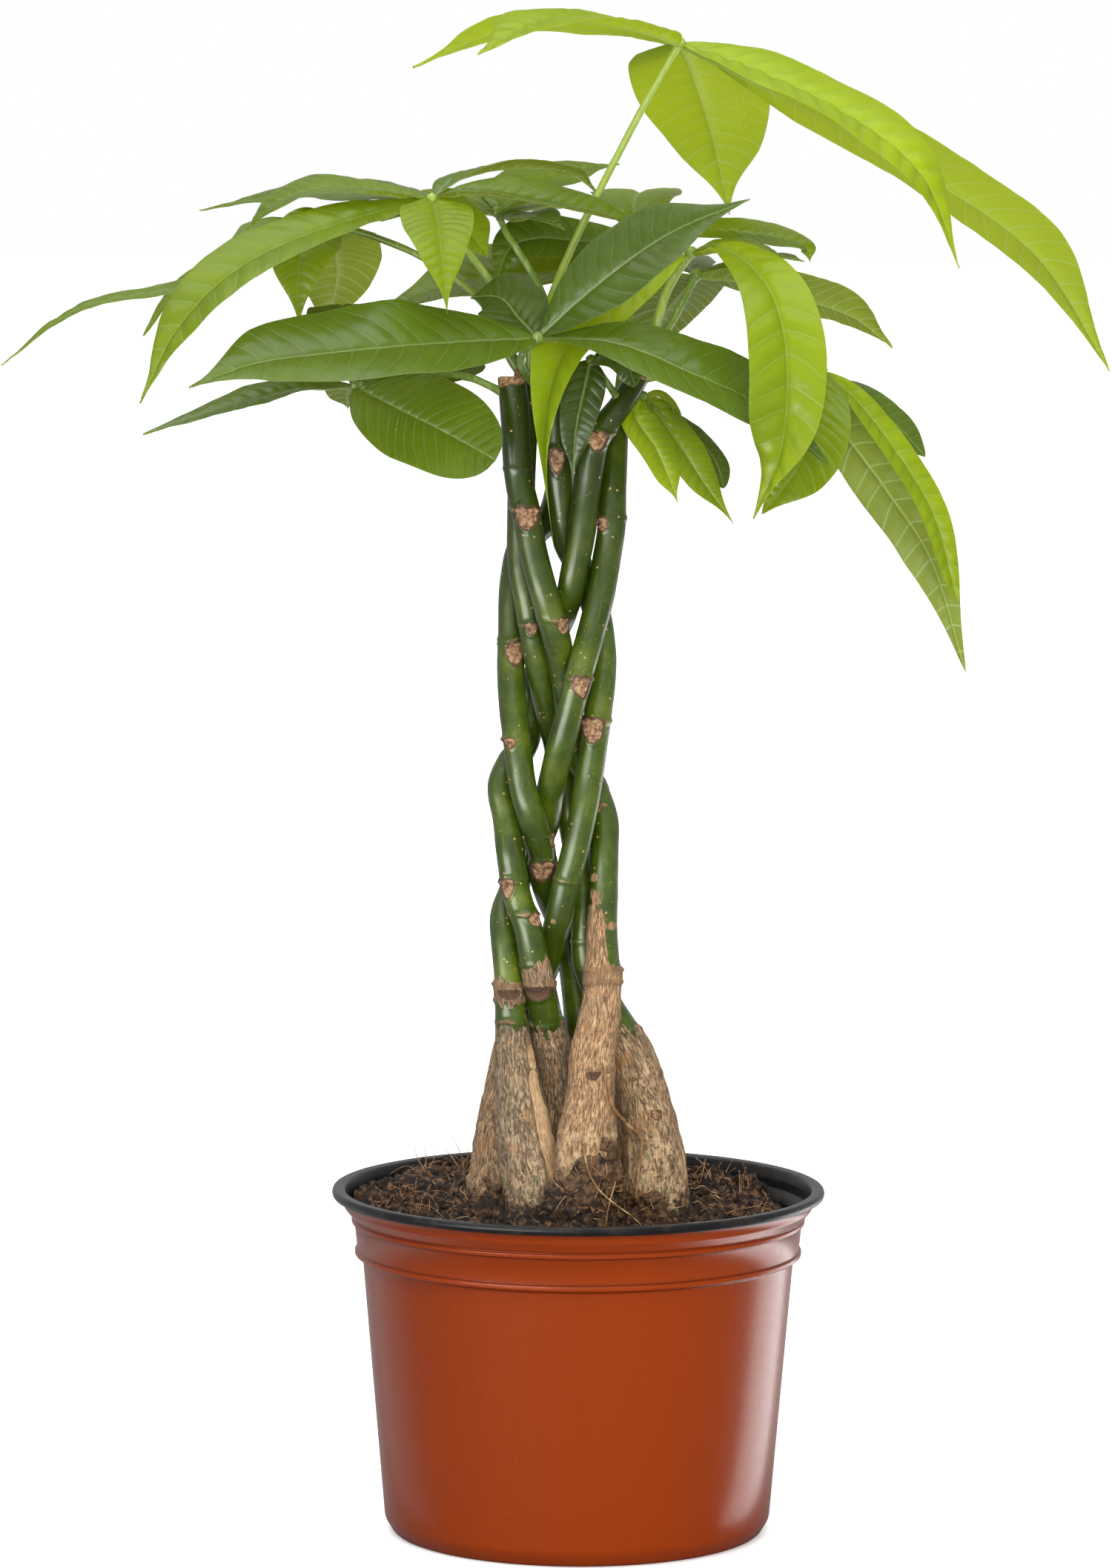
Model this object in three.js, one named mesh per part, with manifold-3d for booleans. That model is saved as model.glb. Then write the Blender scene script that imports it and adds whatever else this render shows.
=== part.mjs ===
// A potted money tree: six braided stems with swollen feet, in a round plastic nursery pot
// filled with peat, with a crown of hand-shaped leaves on long stalks.
// Millimetres, +Z up. The origin is the middle of the pot's flat underside and -Y is the front.

import * as THREE from 'three';
import Module from 'manifold-3d';
import * as BufferGeometryUtils from 'three/addons/utils/BufferGeometryUtils.js';

const wasm = await Module();
wasm.setup();

// Driving dimensions

const GAP = 0.35;
const POT = {
  height: 120,
  rimRadius: 85,
  rimThickness: 3,
  mouthRadius: 80,
  collarRadius: 77,
  collarTop: 109.6,
  collarBottom: 97.6,
  waistRadius: 74.3,
  footRadius: 67,
  baseRadius: 62,
  wall: 1.2,
  segments: 40,
};
const SOIL = {
  meanTop: 108,
  heapLeft: 4.5,
  lump: 1.8,
  rings: 5,
  middleRadius: 2,
};
const STEM = { sides: 7, stations: 28 };
const STALK = { sides: 6, stations: 7 };
const BLADE = {
  stations: 8,
  columns: 3,
  thickness: 0.8,
  wave: 0.02,
  waves: 2.5,
  leastHalfWidth: 0.7,
};
const HUB_RADIUS = 2.3;

// Colours

const COLOUR = {
  pot: 0xa3451b,
  soil: 0x2c211b,
  stem: 0x4c6b2c,
  leaf: 0x5c8a24,
};

// Stem routes from foot to tip, as x, y, z and radius

const STEM_ROUTES = {
  stem_front: [
    [2.6, -27, 85.7, 9.5], [2.5, -27, 114.5, 10.6], [2.4, -26, 137.1, 10.1], [3.6, -23, 153, 8.8],
    [5, -19, 168.8, 7.6], [7.3, -14.6, 184.6, 6.8], [7.5, -12, 196.2, 6.3], [7.7, -9, 211.7, 5.3],
    [8.2, -7, 222.5, 5], [8.4, -5, 235.3, 4.9], [8.3, -2, 248, 4.8], [3.7, 1, 260.7, 4.7],
    [0.4, 0, 266.9, 4.7], [-2.2, -1, 273.9, 4.7], [-4.3, -4.5, 287.3, 4.7], [-6.1, -8, 300.6, 4.7],
    [-8.7, -13, 312.7, 4.8], [-12.5, -15, 326.5, 4.8], [-16.1, -13, 339.7, 4.8],
    [-18.4, -11, 352.4, 4.9], [-21.5, -8, 366.4, 4.8], [-22.8, -7, 386.8, 4.9],
    [-23.7, -6, 399.6, 4.9],
  ],
  stem_middle: [
    [-7, 12.2, 82, 7.8], [-8, 12.2, 111.5, 8.4], [-7.4, 11.6, 131.1, 8.2], [-6.8, 7.6, 148.3, 7.4],
    [-8.6, 1, 165.8, 6.9], [-11.2, -5, 178, 6], [-12.8, -9.3, 187.9, 5.3], [-15.6, -12.6, 201.1, 5.1],
    [-17.9, -12.3, 212, 5], [-21.5, -10, 222.7, 4.9], [-23.7, -9, 236.7, 4.8], [-25, -5, 248.2, 4.8],
    [-27, -2, 258.9, 4.7], [-24, 2, 266.6, 4.7], [-20, 6, 270.9, 4.7], [-17.8, 12, 277.2, 4.7],
    [-17, 12, 287.5, 4.7], [-14, 9.6, 299.5, 4.7], [-9.7, 5, 310.4, 4.7], [-6.7, -1.2, 317, 4.7],
    [-3.9, -8.5, 325.5, 4.7], [-2.5, -11, 332.8, 4.8], [0, -11, 346.5, 4.8], [1.7, -10, 359.8, 4.8],
    [3.9, -9.5, 375.7, 4.9], [6.9, -9, 381.9, 4.6], [13.5, -8, 390.7, 4.1], [20.2, -4, 401.9, 4],
  ],
  stem_back: [
    [10.8, 17.5, 82.9, 8.5], [10.9, 18, 111.6, 9.2], [7.4, 17.5, 143.5, 7.9], [2.6, 14.2, 164, 6.8],
    [-0.3, 12, 183.2, 5.4], [-2.6, 10.5, 197.6, 4.9], [-5, 8.5, 206.9, 4.8], [-8.1, 5.5, 215, 4.8],
    [-11.9, 0, 225.9, 4.8], [-13.2, -7, 238.3, 4.8], [-16.8, -12.5, 250.3, 4.8],
    [-19.9, -11.5, 261.9, 4.8], [-21.5, -9, 274.7, 4.8], [-23.1, -4, 287.2, 4.7],
    [-23.9, 1.5, 299.6, 4.7], [-23.7, 4.5, 311.1, 4.7], [-23.5, 6.5, 322.4, 4.7],
    [-22.8, 8.5, 331.2, 4.7], [-21, 10, 339.5, 4.7], [-15.7, 10, 345.7, 4.7], [-10.1, 8.5, 351.9, 4.7],
    [-7.4, 7.5, 363.2, 4.7], [-6.9, 7, 375.9, 4.7], [-6.9, 7.6, 386, 4.6],
  ],
  stem_right: [
    [27, -2, 83.4, 9.5], [26.9, -2, 111.9, 11], [25.5, -2, 133.4, 10.4], [22.8, -2, 149.9, 9.2],
    [18.2, -2, 166.4, 7.8], [13.3, -1.5, 175.3, 6.8], [8.4, -1, 184.5, 5.9], [4.3, 0, 193.1, 5.2],
    [2.2, 0, 200.3, 4.9], [1.4, 0.5, 213.1, 4.8], [0.8, 1.5, 223.2, 4.7], [-0.7, 3.5, 234.3, 4.7],
    [-3.1, 6, 247.1, 4.7], [-5.7, 6, 260.1, 4.7], [-8, 7.6, 273, 4.7], [-11.4, 3, 286.5, 4.7],
    [-14.5, -1.5, 301.5, 4.7], [-16.3, -3.3, 311.8, 4.7], [-18.4, -3, 324.2, 4.7],
    [-20.2, -2, 332.8, 4.7], [-20.7, -1, 340.3, 4.7], [-20.5, 0, 350.9, 4.7], [-20.3, 2.5, 366, 4.7],
    [-19.1, 3, 386.2, 4.6], [-18.4, 4, 401.4, 4.6],
  ],
  stem_left_back: [
    [-28, 9, 82.2, 9.5], [-28.1, 9, 111.4, 11], [-26.5, 8.8, 134.3, 10.1], [-24.5, 8.3, 150.5, 8.9],
    [-22.5, 8, 164.8, 7.6], [-19.2, 7, 176.3, 6.4], [-14.6, 3, 189, 5.2], [-10.8, -1.3, 199.1, 4.9],
    [-8.8, -6, 207.4, 4.8], [-6.8, -10.5, 215.7, 4.8], [-5.1, -12, 224.8, 4.8],
    [-2.1, -12.5, 236.1, 4.8], [0.7, -12, 249.1, 4.8], [2.9, -10, 261.9, 4.8], [4.6, -9, 274.8, 4.8],
    [6.4, -7, 287.6, 4.8], [7.6, -4, 300.3, 4.7], [7.3, -2.5, 308, 4.7], [6, -1, 317, 4.7],
    [3.7, 0, 324.3, 4.7], [0.6, 0.5, 332.7, 4.7], [-4.5, -1, 342.2, 4.7], [-6.1, -3, 351.2, 4.7],
    [-7.4, -3.5, 363.9, 4.7], [-8.4, -3, 376.5, 4.8], [-8.5, -2.5, 392.9, 4.7],
  ],
  stem_left_front: [
    [-13.7, -11, 83.3, 9.5], [-14.3, -11.6, 111.8, 11], [-17.4, -11.6, 134.7, 10.3],
    [-20, -10, 150.9, 9], [-22.1, -10, 167.4, 6.8], [-23.2, -10, 178.7, 5.7], [-24.2, -9, 191.6, 4.9],
    [-25.6, -5.5, 206, 4.8], [-25.9, -1.5, 214.2, 4.8], [-23.4, 3.5, 221.3, 4.8],
    [-19.9, 6, 228.2, 4.8], [-15.8, 5, 236.9, 4.8], [-12.3, 1.5, 244.2, 4.8], [-11, -1.8, 250.5, 4.8],
    [-10.5, -5.5, 256, 4.8], [-9.5, -9, 261.7, 4.8], [-6.3, -14, 275.2, 4.8], [-3, -15.5, 288.3, 4.8],
    [0.2, -16.3, 301.3, 4.8], [3.4, -13, 312.7, 4.8], [6.7, -11, 326.2, 4.8], [8.9, -8, 339.4, 4.8],
    [10.4, -7, 349.5, 4.8], [10.6, -5, 359.5, 4.8], [11.1, 0, 371.3, 4.8], [11.3, 2.5, 378.8, 4.7],
    [11.6, 4, 386.3, 4.7],
  ],
};

// Leaves. A stalk runs from inside its stem to the hub, where its leaflets fan out.
// A leaflet's midrib passes from the hub through the points of rib. Its upper face leans
// from straight up towards the front by tilt degrees and its halves fold up by fold degrees.
// base and tip say how quickly the outline narrows to either end: less is rounder.

const LEAVES = {
  leaf_top: {
    stem: 'stem_right',
    stalk: [[-18, 4, 399], [-17, 4, 411], [-13, 7, 420], [-5, 10, 440], [5, 9, 461], [21, 6, 492],
      [33, 4, 513]],
    radius: [1.9, 1.3],
    leaflets: [
      { rib: [[16, -18, 518], [-12, -42, 520], [-35, -62, 509]],
        width: 34, tilt: 9, fold: 8, base: 0.9, tip: 0.8 },
      { rib: [[9, 28, 517], [-25, 46, 518], [-59, 58, 504]],
        width: 30, tilt: -7, fold: 5, base: 0.9, tip: 1.1 },
      { rib: [[39, 40, 500], [46, 66, 479], [52, 78, 453]],
        width: 48, tilt: -10, fold: 6, base: 0.7, tip: 1.1 },
      { rib: [[61, -8, 503], [91, -18, 488], [114, -28, 469], [127, -30, 438]],
        width: 31, tilt: 18, fold: 10, base: 0.8, tip: 1.1 },
      { rib: [[74, 14, 492], [119, 30, 468], [158, 42, 440], [184, 48, 400]],
        width: 38, tilt: -20, fold: 8, base: 1, tip: 0.9 },
    ],
  },
  leaf_front: {
    stem: 'stem_left_back',
    stalk: [[-8.5, -3, 389], [-16, -8, 397], [-20.5, -17, 404], [-19.5, -25, 409.5], [-15, -30, 414]],
    radius: [1.9, 1.5],
    leaflets: [
      { rib: [[-46, -46, 413], [-75, -58, 411], [-108, -70, 407], [-130, -76, 399]],
        width: 44, tilt: 34, fold: 8, base: 0.8, tip: 1.1 },
      { rib: [[-1, -34, 427], [15, -37, 440], [32, -38, 451], [56, -38, 461]],
        width: 28, tilt: 50, fold: 10, base: 1, tip: 1 },
      { rib: [[11, -41, 413], [37, -45, 403], [60, -44, 392], [83, -40, 372]],
        width: 35, tilt: 30, fold: 8, base: 1.1, tip: 0.8 },
      { rib: [[-21, -23, 420], [-28, -17, 427], [-38, -13, 427]],
        width: 26, tilt: 40, fold: 8, base: 0.9, tip: 0.9 },
    ],
  },
  leaf_young: {
    stem: 'stem_middle',
    stalk: [[20, -4, 400], [26, -2, 420], [30, 0, 431], [37, -3, 442]],
    radius: [2.2, 1.6],
    leaflets: [
      { rib: [[50, -24, 443], [63, -50, 430], [68, -62, 407], [66, -62, 378], [57, -56, 355]],
        width: 27, tilt: 30, fold: 14, base: 0.9, tip: 0.9 },
      { rib: [[19, -8, 433], [4, -14, 421], [-8, -21, 405], [-13, -23, 378], [-9, -21, 340]],
        width: 32, tilt: 46, fold: 8, tipFold: 60, base: 1.4, tip: 2.3 },
      { rib: [[48, -4, 445], [62, -3, 443], [76, -4, 432]],
        width: 24, tilt: 4, fold: 4, base: 0.9, tip: 1.1 },
    ],
  },
  leaf_right: {
    stem: 'stem_middle',
    stalk: [[17, -5.5, 395], [21, 3, 402], [26, 6, 410], [33, 7, 422], [39, 8, 434]],
    radius: [1.9, 1.4],
    leaflets: [
      { rib: [[57, 12, 432], [76, 18, 426], [93, 20, 420], [107, 20, 409]],
        width: 30, tilt: -26, fold: 6, base: 0.9, tip: 0.9 },
      { rib: [[54, 19, 438], [66, 30, 440], [77, 39, 438]],
        width: 16, tilt: -5, fold: 4, base: 0.9, tip: 0.9 },
      { rib: [[36, 22, 430], [28, 38, 419], [24, 44, 402]],
        width: 30, tilt: -20, fold: 6, base: 0.8, tip: 1 },
      { rib: [[37, 36, 436], [34, 70, 437], [32, 100, 434]],
        width: 22, tilt: 0, fold: 6, base: 1.2, tip: 1.1 },
    ],
  },
  leaf_back: {
    stem: 'stem_left_front',
    stalk: [[11.5, 4, 383], [13.5, 12, 401], [16, 18, 418], [18, 27, 436], [19, 30, 446]],
    radius: [1.9, 1.4],
    leaflets: [
      { rib: [[1, 28, 445], [-15, 24, 446], [-25, 22, 442], [-30, 20, 429]],
        width: 20, tilt: 50, fold: 10, base: 0.9, tip: 1 },
      { rib: [[37, 32, 449], [60, 33, 447], [76, 33, 444], [79, 32, 438]],
        width: 26, tilt: 16, fold: 6, base: 0.9, tip: 1.2 },
      { rib: [[18, 52, 457], [20, 84, 460], [22, 118, 459]],
        width: 32, tilt: 0, fold: 6, base: 1.2, tip: 1.1 },
      { rib: [[-6, 36, 435], [-29, 40, 433], [-50, 42, 428], [-72, 42, 419]],
        width: 40, tilt: 24, fold: 8, base: 0.9, tip: 1 },
    ],
  },
  leaf_left_high: {
    stem: 'stem_right',
    stalk: [[-18.6, 3.8, 397], [-26, 4, 409], [-30, 1, 429], [-42, -6, 446], [-51, -12, 460]],
    radius: [1.8, 1.4],
    leaflets: [
      { rib: [[-72, -16, 463], [-89, -18, 463], [-104, -20, 458], [-114, -20, 449]],
        width: 30, tilt: 10, fold: 8, base: 0.9, tip: 0.9 },
      { rib: [[-77, 10, 461], [-103, 24, 460], [-132, 34, 455]],
        width: 30, tilt: 14, fold: 6, base: 0.9, tip: 1.2 },
      { rib: [[-49, -32, 454], [-47, -50, 443], [-45, -57, 423]],
        width: 25, tilt: 20, fold: 8, base: 0.6, tip: 1.2 },
      { rib: [[-83, -38, 452], [-113, -52, 439], [-134, -60, 419], [-147, -62, 393]],
        width: 26, tilt: 25, fold: 10, base: 0.8, tip: 1 },
      { rib: [[-43, -3, 467], [-24, 8, 471], [-5, 15, 469], [5, 18, 462]],
        width: 24, tilt: -6, fold: 6, base: 1.2, tip: 1 },
      { rib: [[-37, -18, 463], [-16, -20, 460], [3, -21, 456], [23, -20, 451]],
        width: 26, tilt: 14, fold: 16, base: 1.1, tip: 0.9 },
      { rib: [[-44, -4, 455], [-38, 2, 448], [-32, 5, 440]],
        width: 22, tilt: 45, fold: 8, base: 0.7, tip: 0.8 },
    ],
  },
  leaf_middle_high: {
    stem: 'stem_back',
    stalk: [[-7, 7.6, 383], [-9, 12, 408], [-13, 12, 426], [-22, 12, 442], [-26, 14, 448],
      [-29, 18, 455]],
    radius: [1.7, 1.3],
    leaflets: [
      { rib: [[-22, 32, 462], [-6, 42, 468], [13, 52, 471]],
        width: 30, tilt: 16, fold: 6, base: 1, tip: 1.1 },
      { rib: [[-18, 46, 456], [-4, 66, 456], [2, 76, 454]],
        width: 22, tilt: 2, fold: 6, base: 0.9, tip: 1 },
      { rib: [[-41, 18, 456], [-55, 17, 456], [-69, 15, 452]],
        width: 22, tilt: 6, fold: 6, base: 0.9, tip: 1 },
      { rib: [[-37, 33, 459], [-47, 47, 461], [-58, 58, 460]],
        width: 26, tilt: 4, fold: 6, base: 0.9, tip: 1 },
      { rib: [[-23, 14, 453], [-15, 4, 454], [-6, -6, 450]],
        width: 20, tilt: 14, fold: 6, base: 0.9, tip: 1 },
    ],
  },
  leaf_left_far: {
    stem: 'stem_right',
    stalk: [[-18.8, 3.6, 387], [-21, 13, 398], [-26, 16, 412], [-36, 14, 426], [-52, 13, 438],
      [-67, 13, 445], [-83, 14, 450]],
    radius: [1.7, 1.3],
    leaflets: [
      { rib: [[-91, 2, 448], [-96, -8, 439], [-96, -12, 418]],
        width: 23, tilt: 70, fold: 10, base: 0.8, tip: 0.9 },
      { rib: [[-85, 32, 443], [-85, 48, 431], [-90, 56, 411]],
        width: 32, tilt: -20, fold: 6, base: 0.6, tip: 0.8 },
      { rib: [[-110, 10, 440], [-137, 4, 429], [-171, 0, 422], [-198, -2, 403]],
        width: 17, tilt: 10, fold: 6, base: 1, tip: 1 },
      { rib: [[-99, 7, 451], [-110, -4, 450], [-121, -12, 444]],
        width: 14, tilt: 12, fold: 6, base: 0.9, tip: 0.9 },
      { rib: [[-113, 22, 441], [-136, 24, 432], [-151, 22, 412]],
        width: 8, tilt: 12, fold: 6, base: 0.9, tip: 0.6 },
    ],
  },
  leaf_left_low: {
    stem: 'stem_front',
    stalk: [[-23.5, -6, 392], [-32, -7.5, 397], [-42, -8, 400], [-62, -10, 399], [-77, -12, 397]],
    radius: [1.7, 1.3],
    leaflets: [
      { rib: [[-65, -20, 391], [-48, -28, 383], [-29, -34, 373]],
        width: 35, tilt: 62, fold: 4, base: 0.62, tip: 0.42 },
      { rib: [[-97, -16, 396], [-117, -22, 391], [-148, -30, 381]],
        width: 18, tilt: 16, fold: 8, base: 0.9, tip: 0.8 },
      { rib: [[-80, 0, 394], [-80, 10, 388]],
        width: 16, tilt: -20, fold: 6, base: 0.7, tip: 0.9 },
      { rib: [[-62, -4, 399], [-47, 0, 401], [-33, 4, 403]],
        width: 24, tilt: 30, fold: 14, base: 0.8, tip: 0.6 },
      { rib: [[-78, 0, 409], [-81, 20, 419], [-83, 45, 422]],
        width: 28, tilt: 20, fold: 6, base: 0.8, tip: 0.6 },
    ],
  },
  leaf_right_low: {
    stem: 'stem_middle',
    stalk: [[18.5, -5, 399], [28, -7, 400], [37, -8, 398], [59, -12, 399], [81, -15, 403]],
    radius: [1.8, 1.4],
    leaflets: [
      { rib: [[92, -18, 394], [107, -18, 375], [120, -17, 353], [128, -15, 324]],
        width: 11, tilt: 50, fold: 14, base: 0.8, tip: 0.6 },
      { rib: [[86, -6, 387], [104, -2, 362], [120, 0, 337], [132, 2, 299]],
        width: 22, tilt: -55, fold: 6, base: 0.9, tip: 0.8 },
      { rib: [[93, 4, 395], [107, 10, 384], [118, 12, 372]],
        width: 18, tilt: 30, fold: 6, base: 0.9, tip: 0.7 },
      { rib: [[79, -24, 388], [73, -30, 371], [61, -32, 355]],
        width: 27, tilt: 50, fold: 6, base: 0.8, tip: 0.8 },
    ],
  },
  leaf_small: {
    stem: 'stem_middle',
    stalk: [[15.5, -6.5, 394], [19, -3, 393.5], [21, 0, 393]],
    radius: [1.4, 1.1],
    leaflets: [
      { rib: [[18.6, -3, 386], [25.4, -5, 375.5], [30, -6, 365], [33, -6, 357]],
        width: 13, tilt: 50, fold: 8, base: 0.8, tip: 1.1 },
      { rib: [[26, 2, 387], [34.5, 0, 375], [43, -2, 362], [52, -3, 350]],
        width: 14, tilt: 50, fold: 10, base: 1, tip: 1.1 },
      { rib: [[30, 6, 386], [40, 8, 378], [46, 9, 370], [49, 9, 361]],
        width: 10, tilt: 30, fold: 10, base: 1, tip: 0.6 },
      { rib: [[27, 3, 393.5], [32, 4, 388], [34.5, 4, 380]],
        width: 5, tilt: 20, fold: 10, base: 0.9, tip: 1 },
    ],
  },
  leaf_hanging: {
    stem: 'stem_middle',
    stalk: [[13.5, -8, 390.7], [8, -13, 399], [3, -15, 406]],
    radius: [1.5, 1.2],
    leaflets: [
      { rib: [[1, -17, 397], [-2, -19, 382], [-3, -18, 365]],
        width: 14.5, tilt: 70, fold: 8, base: 0.6, tip: 1 },
      { rib: [[9, -18, 408], [15, -18, 405], [18, -16, 397]],
        width: 20, tilt: 30, fold: 8, base: 0.7, tip: 0.7 },
    ],
  },
};

// Curves

// Catmull-Rom curve through the points, with the place and the direction at t from 0 to 1.
function along(points, t) {
  const last = points.length - 1;
  const span = Math.min(Math.floor(t * last), last - 1);
  const f = t * last - span;
  const pick = (i) => {
    if (i < 0) return points[0].clone().multiplyScalar(2).sub(points[1]);
    if (i > last) return points[last].clone().multiplyScalar(2).sub(points[last - 1]);
    return points[i];
  };
  const [a, b, c, d] = [span - 1, span, span + 1, span + 2].map(pick);
  const place = new THREE.Vector3();
  const heading = new THREE.Vector3();
  for (const axis of ['x', 'y', 'z']) {
    const k1 = c[axis] - a[axis];
    const k2 = 2 * a[axis] - 5 * b[axis] + 4 * c[axis] - d[axis];
    const k3 = 3 * b[axis] - a[axis] - 3 * c[axis] + d[axis];
    place[axis] = 0.5 * (2 * b[axis] + k1 * f + k2 * f * f + k3 * f * f * f);
    heading[axis] = 0.5 * (k1 + 2 * k2 * f + 3 * k3 * f * f);
  }
  return { place, heading: heading.normalize() };
}

function toVectors(list) {
  return list.map(([x, y, z]) => new THREE.Vector3(x, y, z));
}

function between(values, t) {
  const last = values.length - 1;
  const span = Math.min(Math.floor(t * last), last - 1);
  const f = t * last - span;
  return values[span] * (1 - f) + values[span + 1] * f;
}

// Closed solids

// Rings of equal length joined into one closed skin, with a flat fan on the first and last.
// Quads from the place called turned onwards are split along their other diagonal.
function skin(rings, turned = Infinity) {
  const sides = rings[0].length;
  const positions = rings.flat().flatMap((p) => [p.x, p.y, p.z]);
  const faces = [];
  for (let i = 0; i + 1 < rings.length; i += 1) {
    for (let j = 0; j < sides; j += 1) {
      const a = i * sides + j;
      const b = i * sides + (j + 1) % sides;
      if (j < turned) faces.push(a, b, b + sides, a, b + sides, a + sides);
      else faces.push(a, b, a + sides, b, b + sides, a + sides);
    }
  }
  const end = (rings.length - 1) * sides;
  for (let j = 1; j + 1 < sides; j += 1) {
    faces.push(0, j + 1, j);
    faces.push(end, end + j, end + j + 1);
  }
  const geometry = new THREE.BufferGeometry();
  geometry.setAttribute('position', new THREE.Float32BufferAttribute(positions, 3));
  geometry.setIndex(faces);
  return geometry;
}

function toSolid(geometry) {
  const bare = geometry.clone();
  bare.deleteAttribute('normal');
  bare.deleteAttribute('uv');
  const merged = BufferGeometryUtils.mergeVertices(bare, 1e-4);
  const mesh = new wasm.Mesh({
    numProp: 3,
    vertProperties: new Float32Array(merged.attributes.position.array),
    triVerts: new Uint32Array(merged.index.array),
  });
  return new wasm.Manifold(mesh);
}

function toGeometry(solid) {
  const mesh = solid.getMesh();
  const geometry = new THREE.BufferGeometry();
  geometry.setAttribute('position', new THREE.BufferAttribute(mesh.vertProperties, 3));
  geometry.setIndex(new THREE.BufferAttribute(mesh.triVerts, 1));
  geometry.computeVertexNormals();
  return geometry;
}

// A round rod swept along points, its radius passing through the radii. The extra widens it
// and lengthens it at both ends.
function rod(points, radii, sides, stations, extra = 0) {
  const rings = [];
  for (let i = 0; i < stations; i += 1) {
    const t = i / (stations - 1);
    const { place, heading } = along(points, t);
    const across = heading.clone().cross(new THREE.Vector3(0.1, -1, 0.2)).normalize();
    const up = across.clone().cross(heading).normalize();
    const radius = between(radii, t) + extra;
    if (i === 0) place.addScaledVector(heading, -extra);
    if (i === stations - 1) place.addScaledVector(heading, extra);
    const ring = [];
    for (let j = 0; j < sides; j += 1) {
      const angle = (-2 * Math.PI * j) / sides;
      const rim = across.clone().multiplyScalar(Math.cos(angle) * radius);
      rim.addScaledVector(up, Math.sin(angle) * radius);
      ring.push(place.clone().add(rim));
    }
    rings.push(ring);
  }
  return skin(rings);
}

// Stems

function stemRod(name, extra = 0) {
  const route = STEM_ROUTES[name];
  const radii = route.map((point) => point[3]);
  return rod(toVectors(route), radii, STEM.sides, STEM.stations, extra);
}

// Leaves

function facing(tilt) {
  const lean = THREE.MathUtils.degToRad(tilt);
  return new THREE.Vector3(0, -Math.sin(lean), Math.cos(lean));
}

// Half the width of a leaflet at t: a product of powers that peaks between hub and tip.
function halfWidth(leaflet, t) {
  const peak = leaflet.base / (leaflet.base + leaflet.tip);
  const rise = (t / peak) ** leaflet.base;
  const fall = ((1 - t) / (1 - peak)) ** leaflet.tip;
  return Math.max((leaflet.width / 2) * rise * fall, BLADE.leastHalfWidth);
}

// A thin blade, folded at its midrib, whose edges rise and fall in slow waves. Its underside
// is split into triangles as its top is, so that the two never cross.
function blade(hub, leaflet, turn) {
  const points = [hub, ...toVectors(leaflet.rib)];
  const face = facing(leaflet.tilt);
  const rings = [];
  for (let i = 0; i < BLADE.stations; i += 1) {
    const even = i / (BLADE.stations - 1);
    const t = 0.6 * even + 0.2 * (1 - Math.cos(Math.PI * even));
    const { place, heading } = along(points, t);
    const normal = face.clone().addScaledVector(heading, -face.dot(heading)).normalize();
    const across = heading.clone().cross(normal);
    const half = halfWidth(leaflet, t);
    const tipFold = leaflet.tipFold ?? leaflet.fold;
    const fold = THREE.MathUtils.degToRad(leaflet.fold + (tipFold - leaflet.fold) * t);
    const reach = half / (leaflet.width / 2);
    const edge = (side) => {
      const phase = 2 * Math.PI * BLADE.waves * t + turn + (side > 0 ? 1.6 : 0);
      const wave = BLADE.wave * leaflet.width * reach * Math.sin(phase);
      const point = place.clone().addScaledVector(across, side * half * Math.cos(fold));
      return point.addScaledVector(normal, half * Math.sin(fold) + wave);
    };
    const top = [edge(-1), place, edge(1)];
    const under = top.map((p) => p.clone().addScaledVector(normal, -BLADE.thickness));
    rings.push([top[0], top[1], top[2], under[2], under[1], under[0]]);
  }
  return skin(rings, BLADE.columns);
}

function leafSolid(leaf, index) {
  const stalkPoints = toVectors(leaf.stalk);
  const hub = stalkPoints[stalkPoints.length - 1];
  const knob = new THREE.IcosahedronGeometry(HUB_RADIUS, 0).translate(hub.x, hub.y, hub.z);
  let solid = toSolid(rod(stalkPoints, leaf.radius, STALK.sides, STALK.stations));
  solid = solid.add(toSolid(knob));
  leaf.leaflets.forEach((leaflet, i) => {
    solid = solid.add(toSolid(blade(hub, leaflet, index + 1.7 * i)));
  });
  return solid.subtract(toSolid(stemRod(leaf.stem, GAP)));
}

// Pot

// The inside of the wall as radius and height, from the mouth down to the middle of the floor.
function innerProfile() {
  const { mouthRadius, collarRadius, collarBottom, waistRadius, footRadius, baseRadius, wall } = POT;
  return [
    [mouthRadius + 1 - wall, POT.collarTop + 3],
    [collarRadius - wall, POT.collarTop],
    [collarRadius - 1 - wall, collarBottom],
    [waistRadius - wall, collarBottom - 2.6],
    [footRadius - wall, 12],
    [footRadius - 2 - wall, 4],
    [baseRadius - wall, wall],
    [0, wall],
  ];
}

function potProfile() {
  const { height, rimRadius, rimThickness, mouthRadius, collarRadius, collarBottom } = POT;
  const { collarTop, waistRadius, footRadius, baseRadius } = POT;
  return [
    [0, 0],
    [baseRadius, 0],
    [footRadius - 1, 3.5],
    [footRadius, 12],
    [waistRadius, collarBottom - 2.6],
    [collarRadius - 1, collarBottom],
    [collarRadius, collarTop],
    [mouthRadius + 1, collarTop + 3],
    [mouthRadius + 1, height - rimThickness],
    [rimRadius, height - rimThickness],
    [rimRadius, height],
    [mouthRadius, height],
    ...innerProfile(),
  ];
}

function lathe(profile) {
  const points = profile.map(([radius, height]) => new THREE.Vector2(radius, height));
  return new THREE.LatheGeometry(points, POT.segments).rotateX(Math.PI / 2);
}

// Soil

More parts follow.
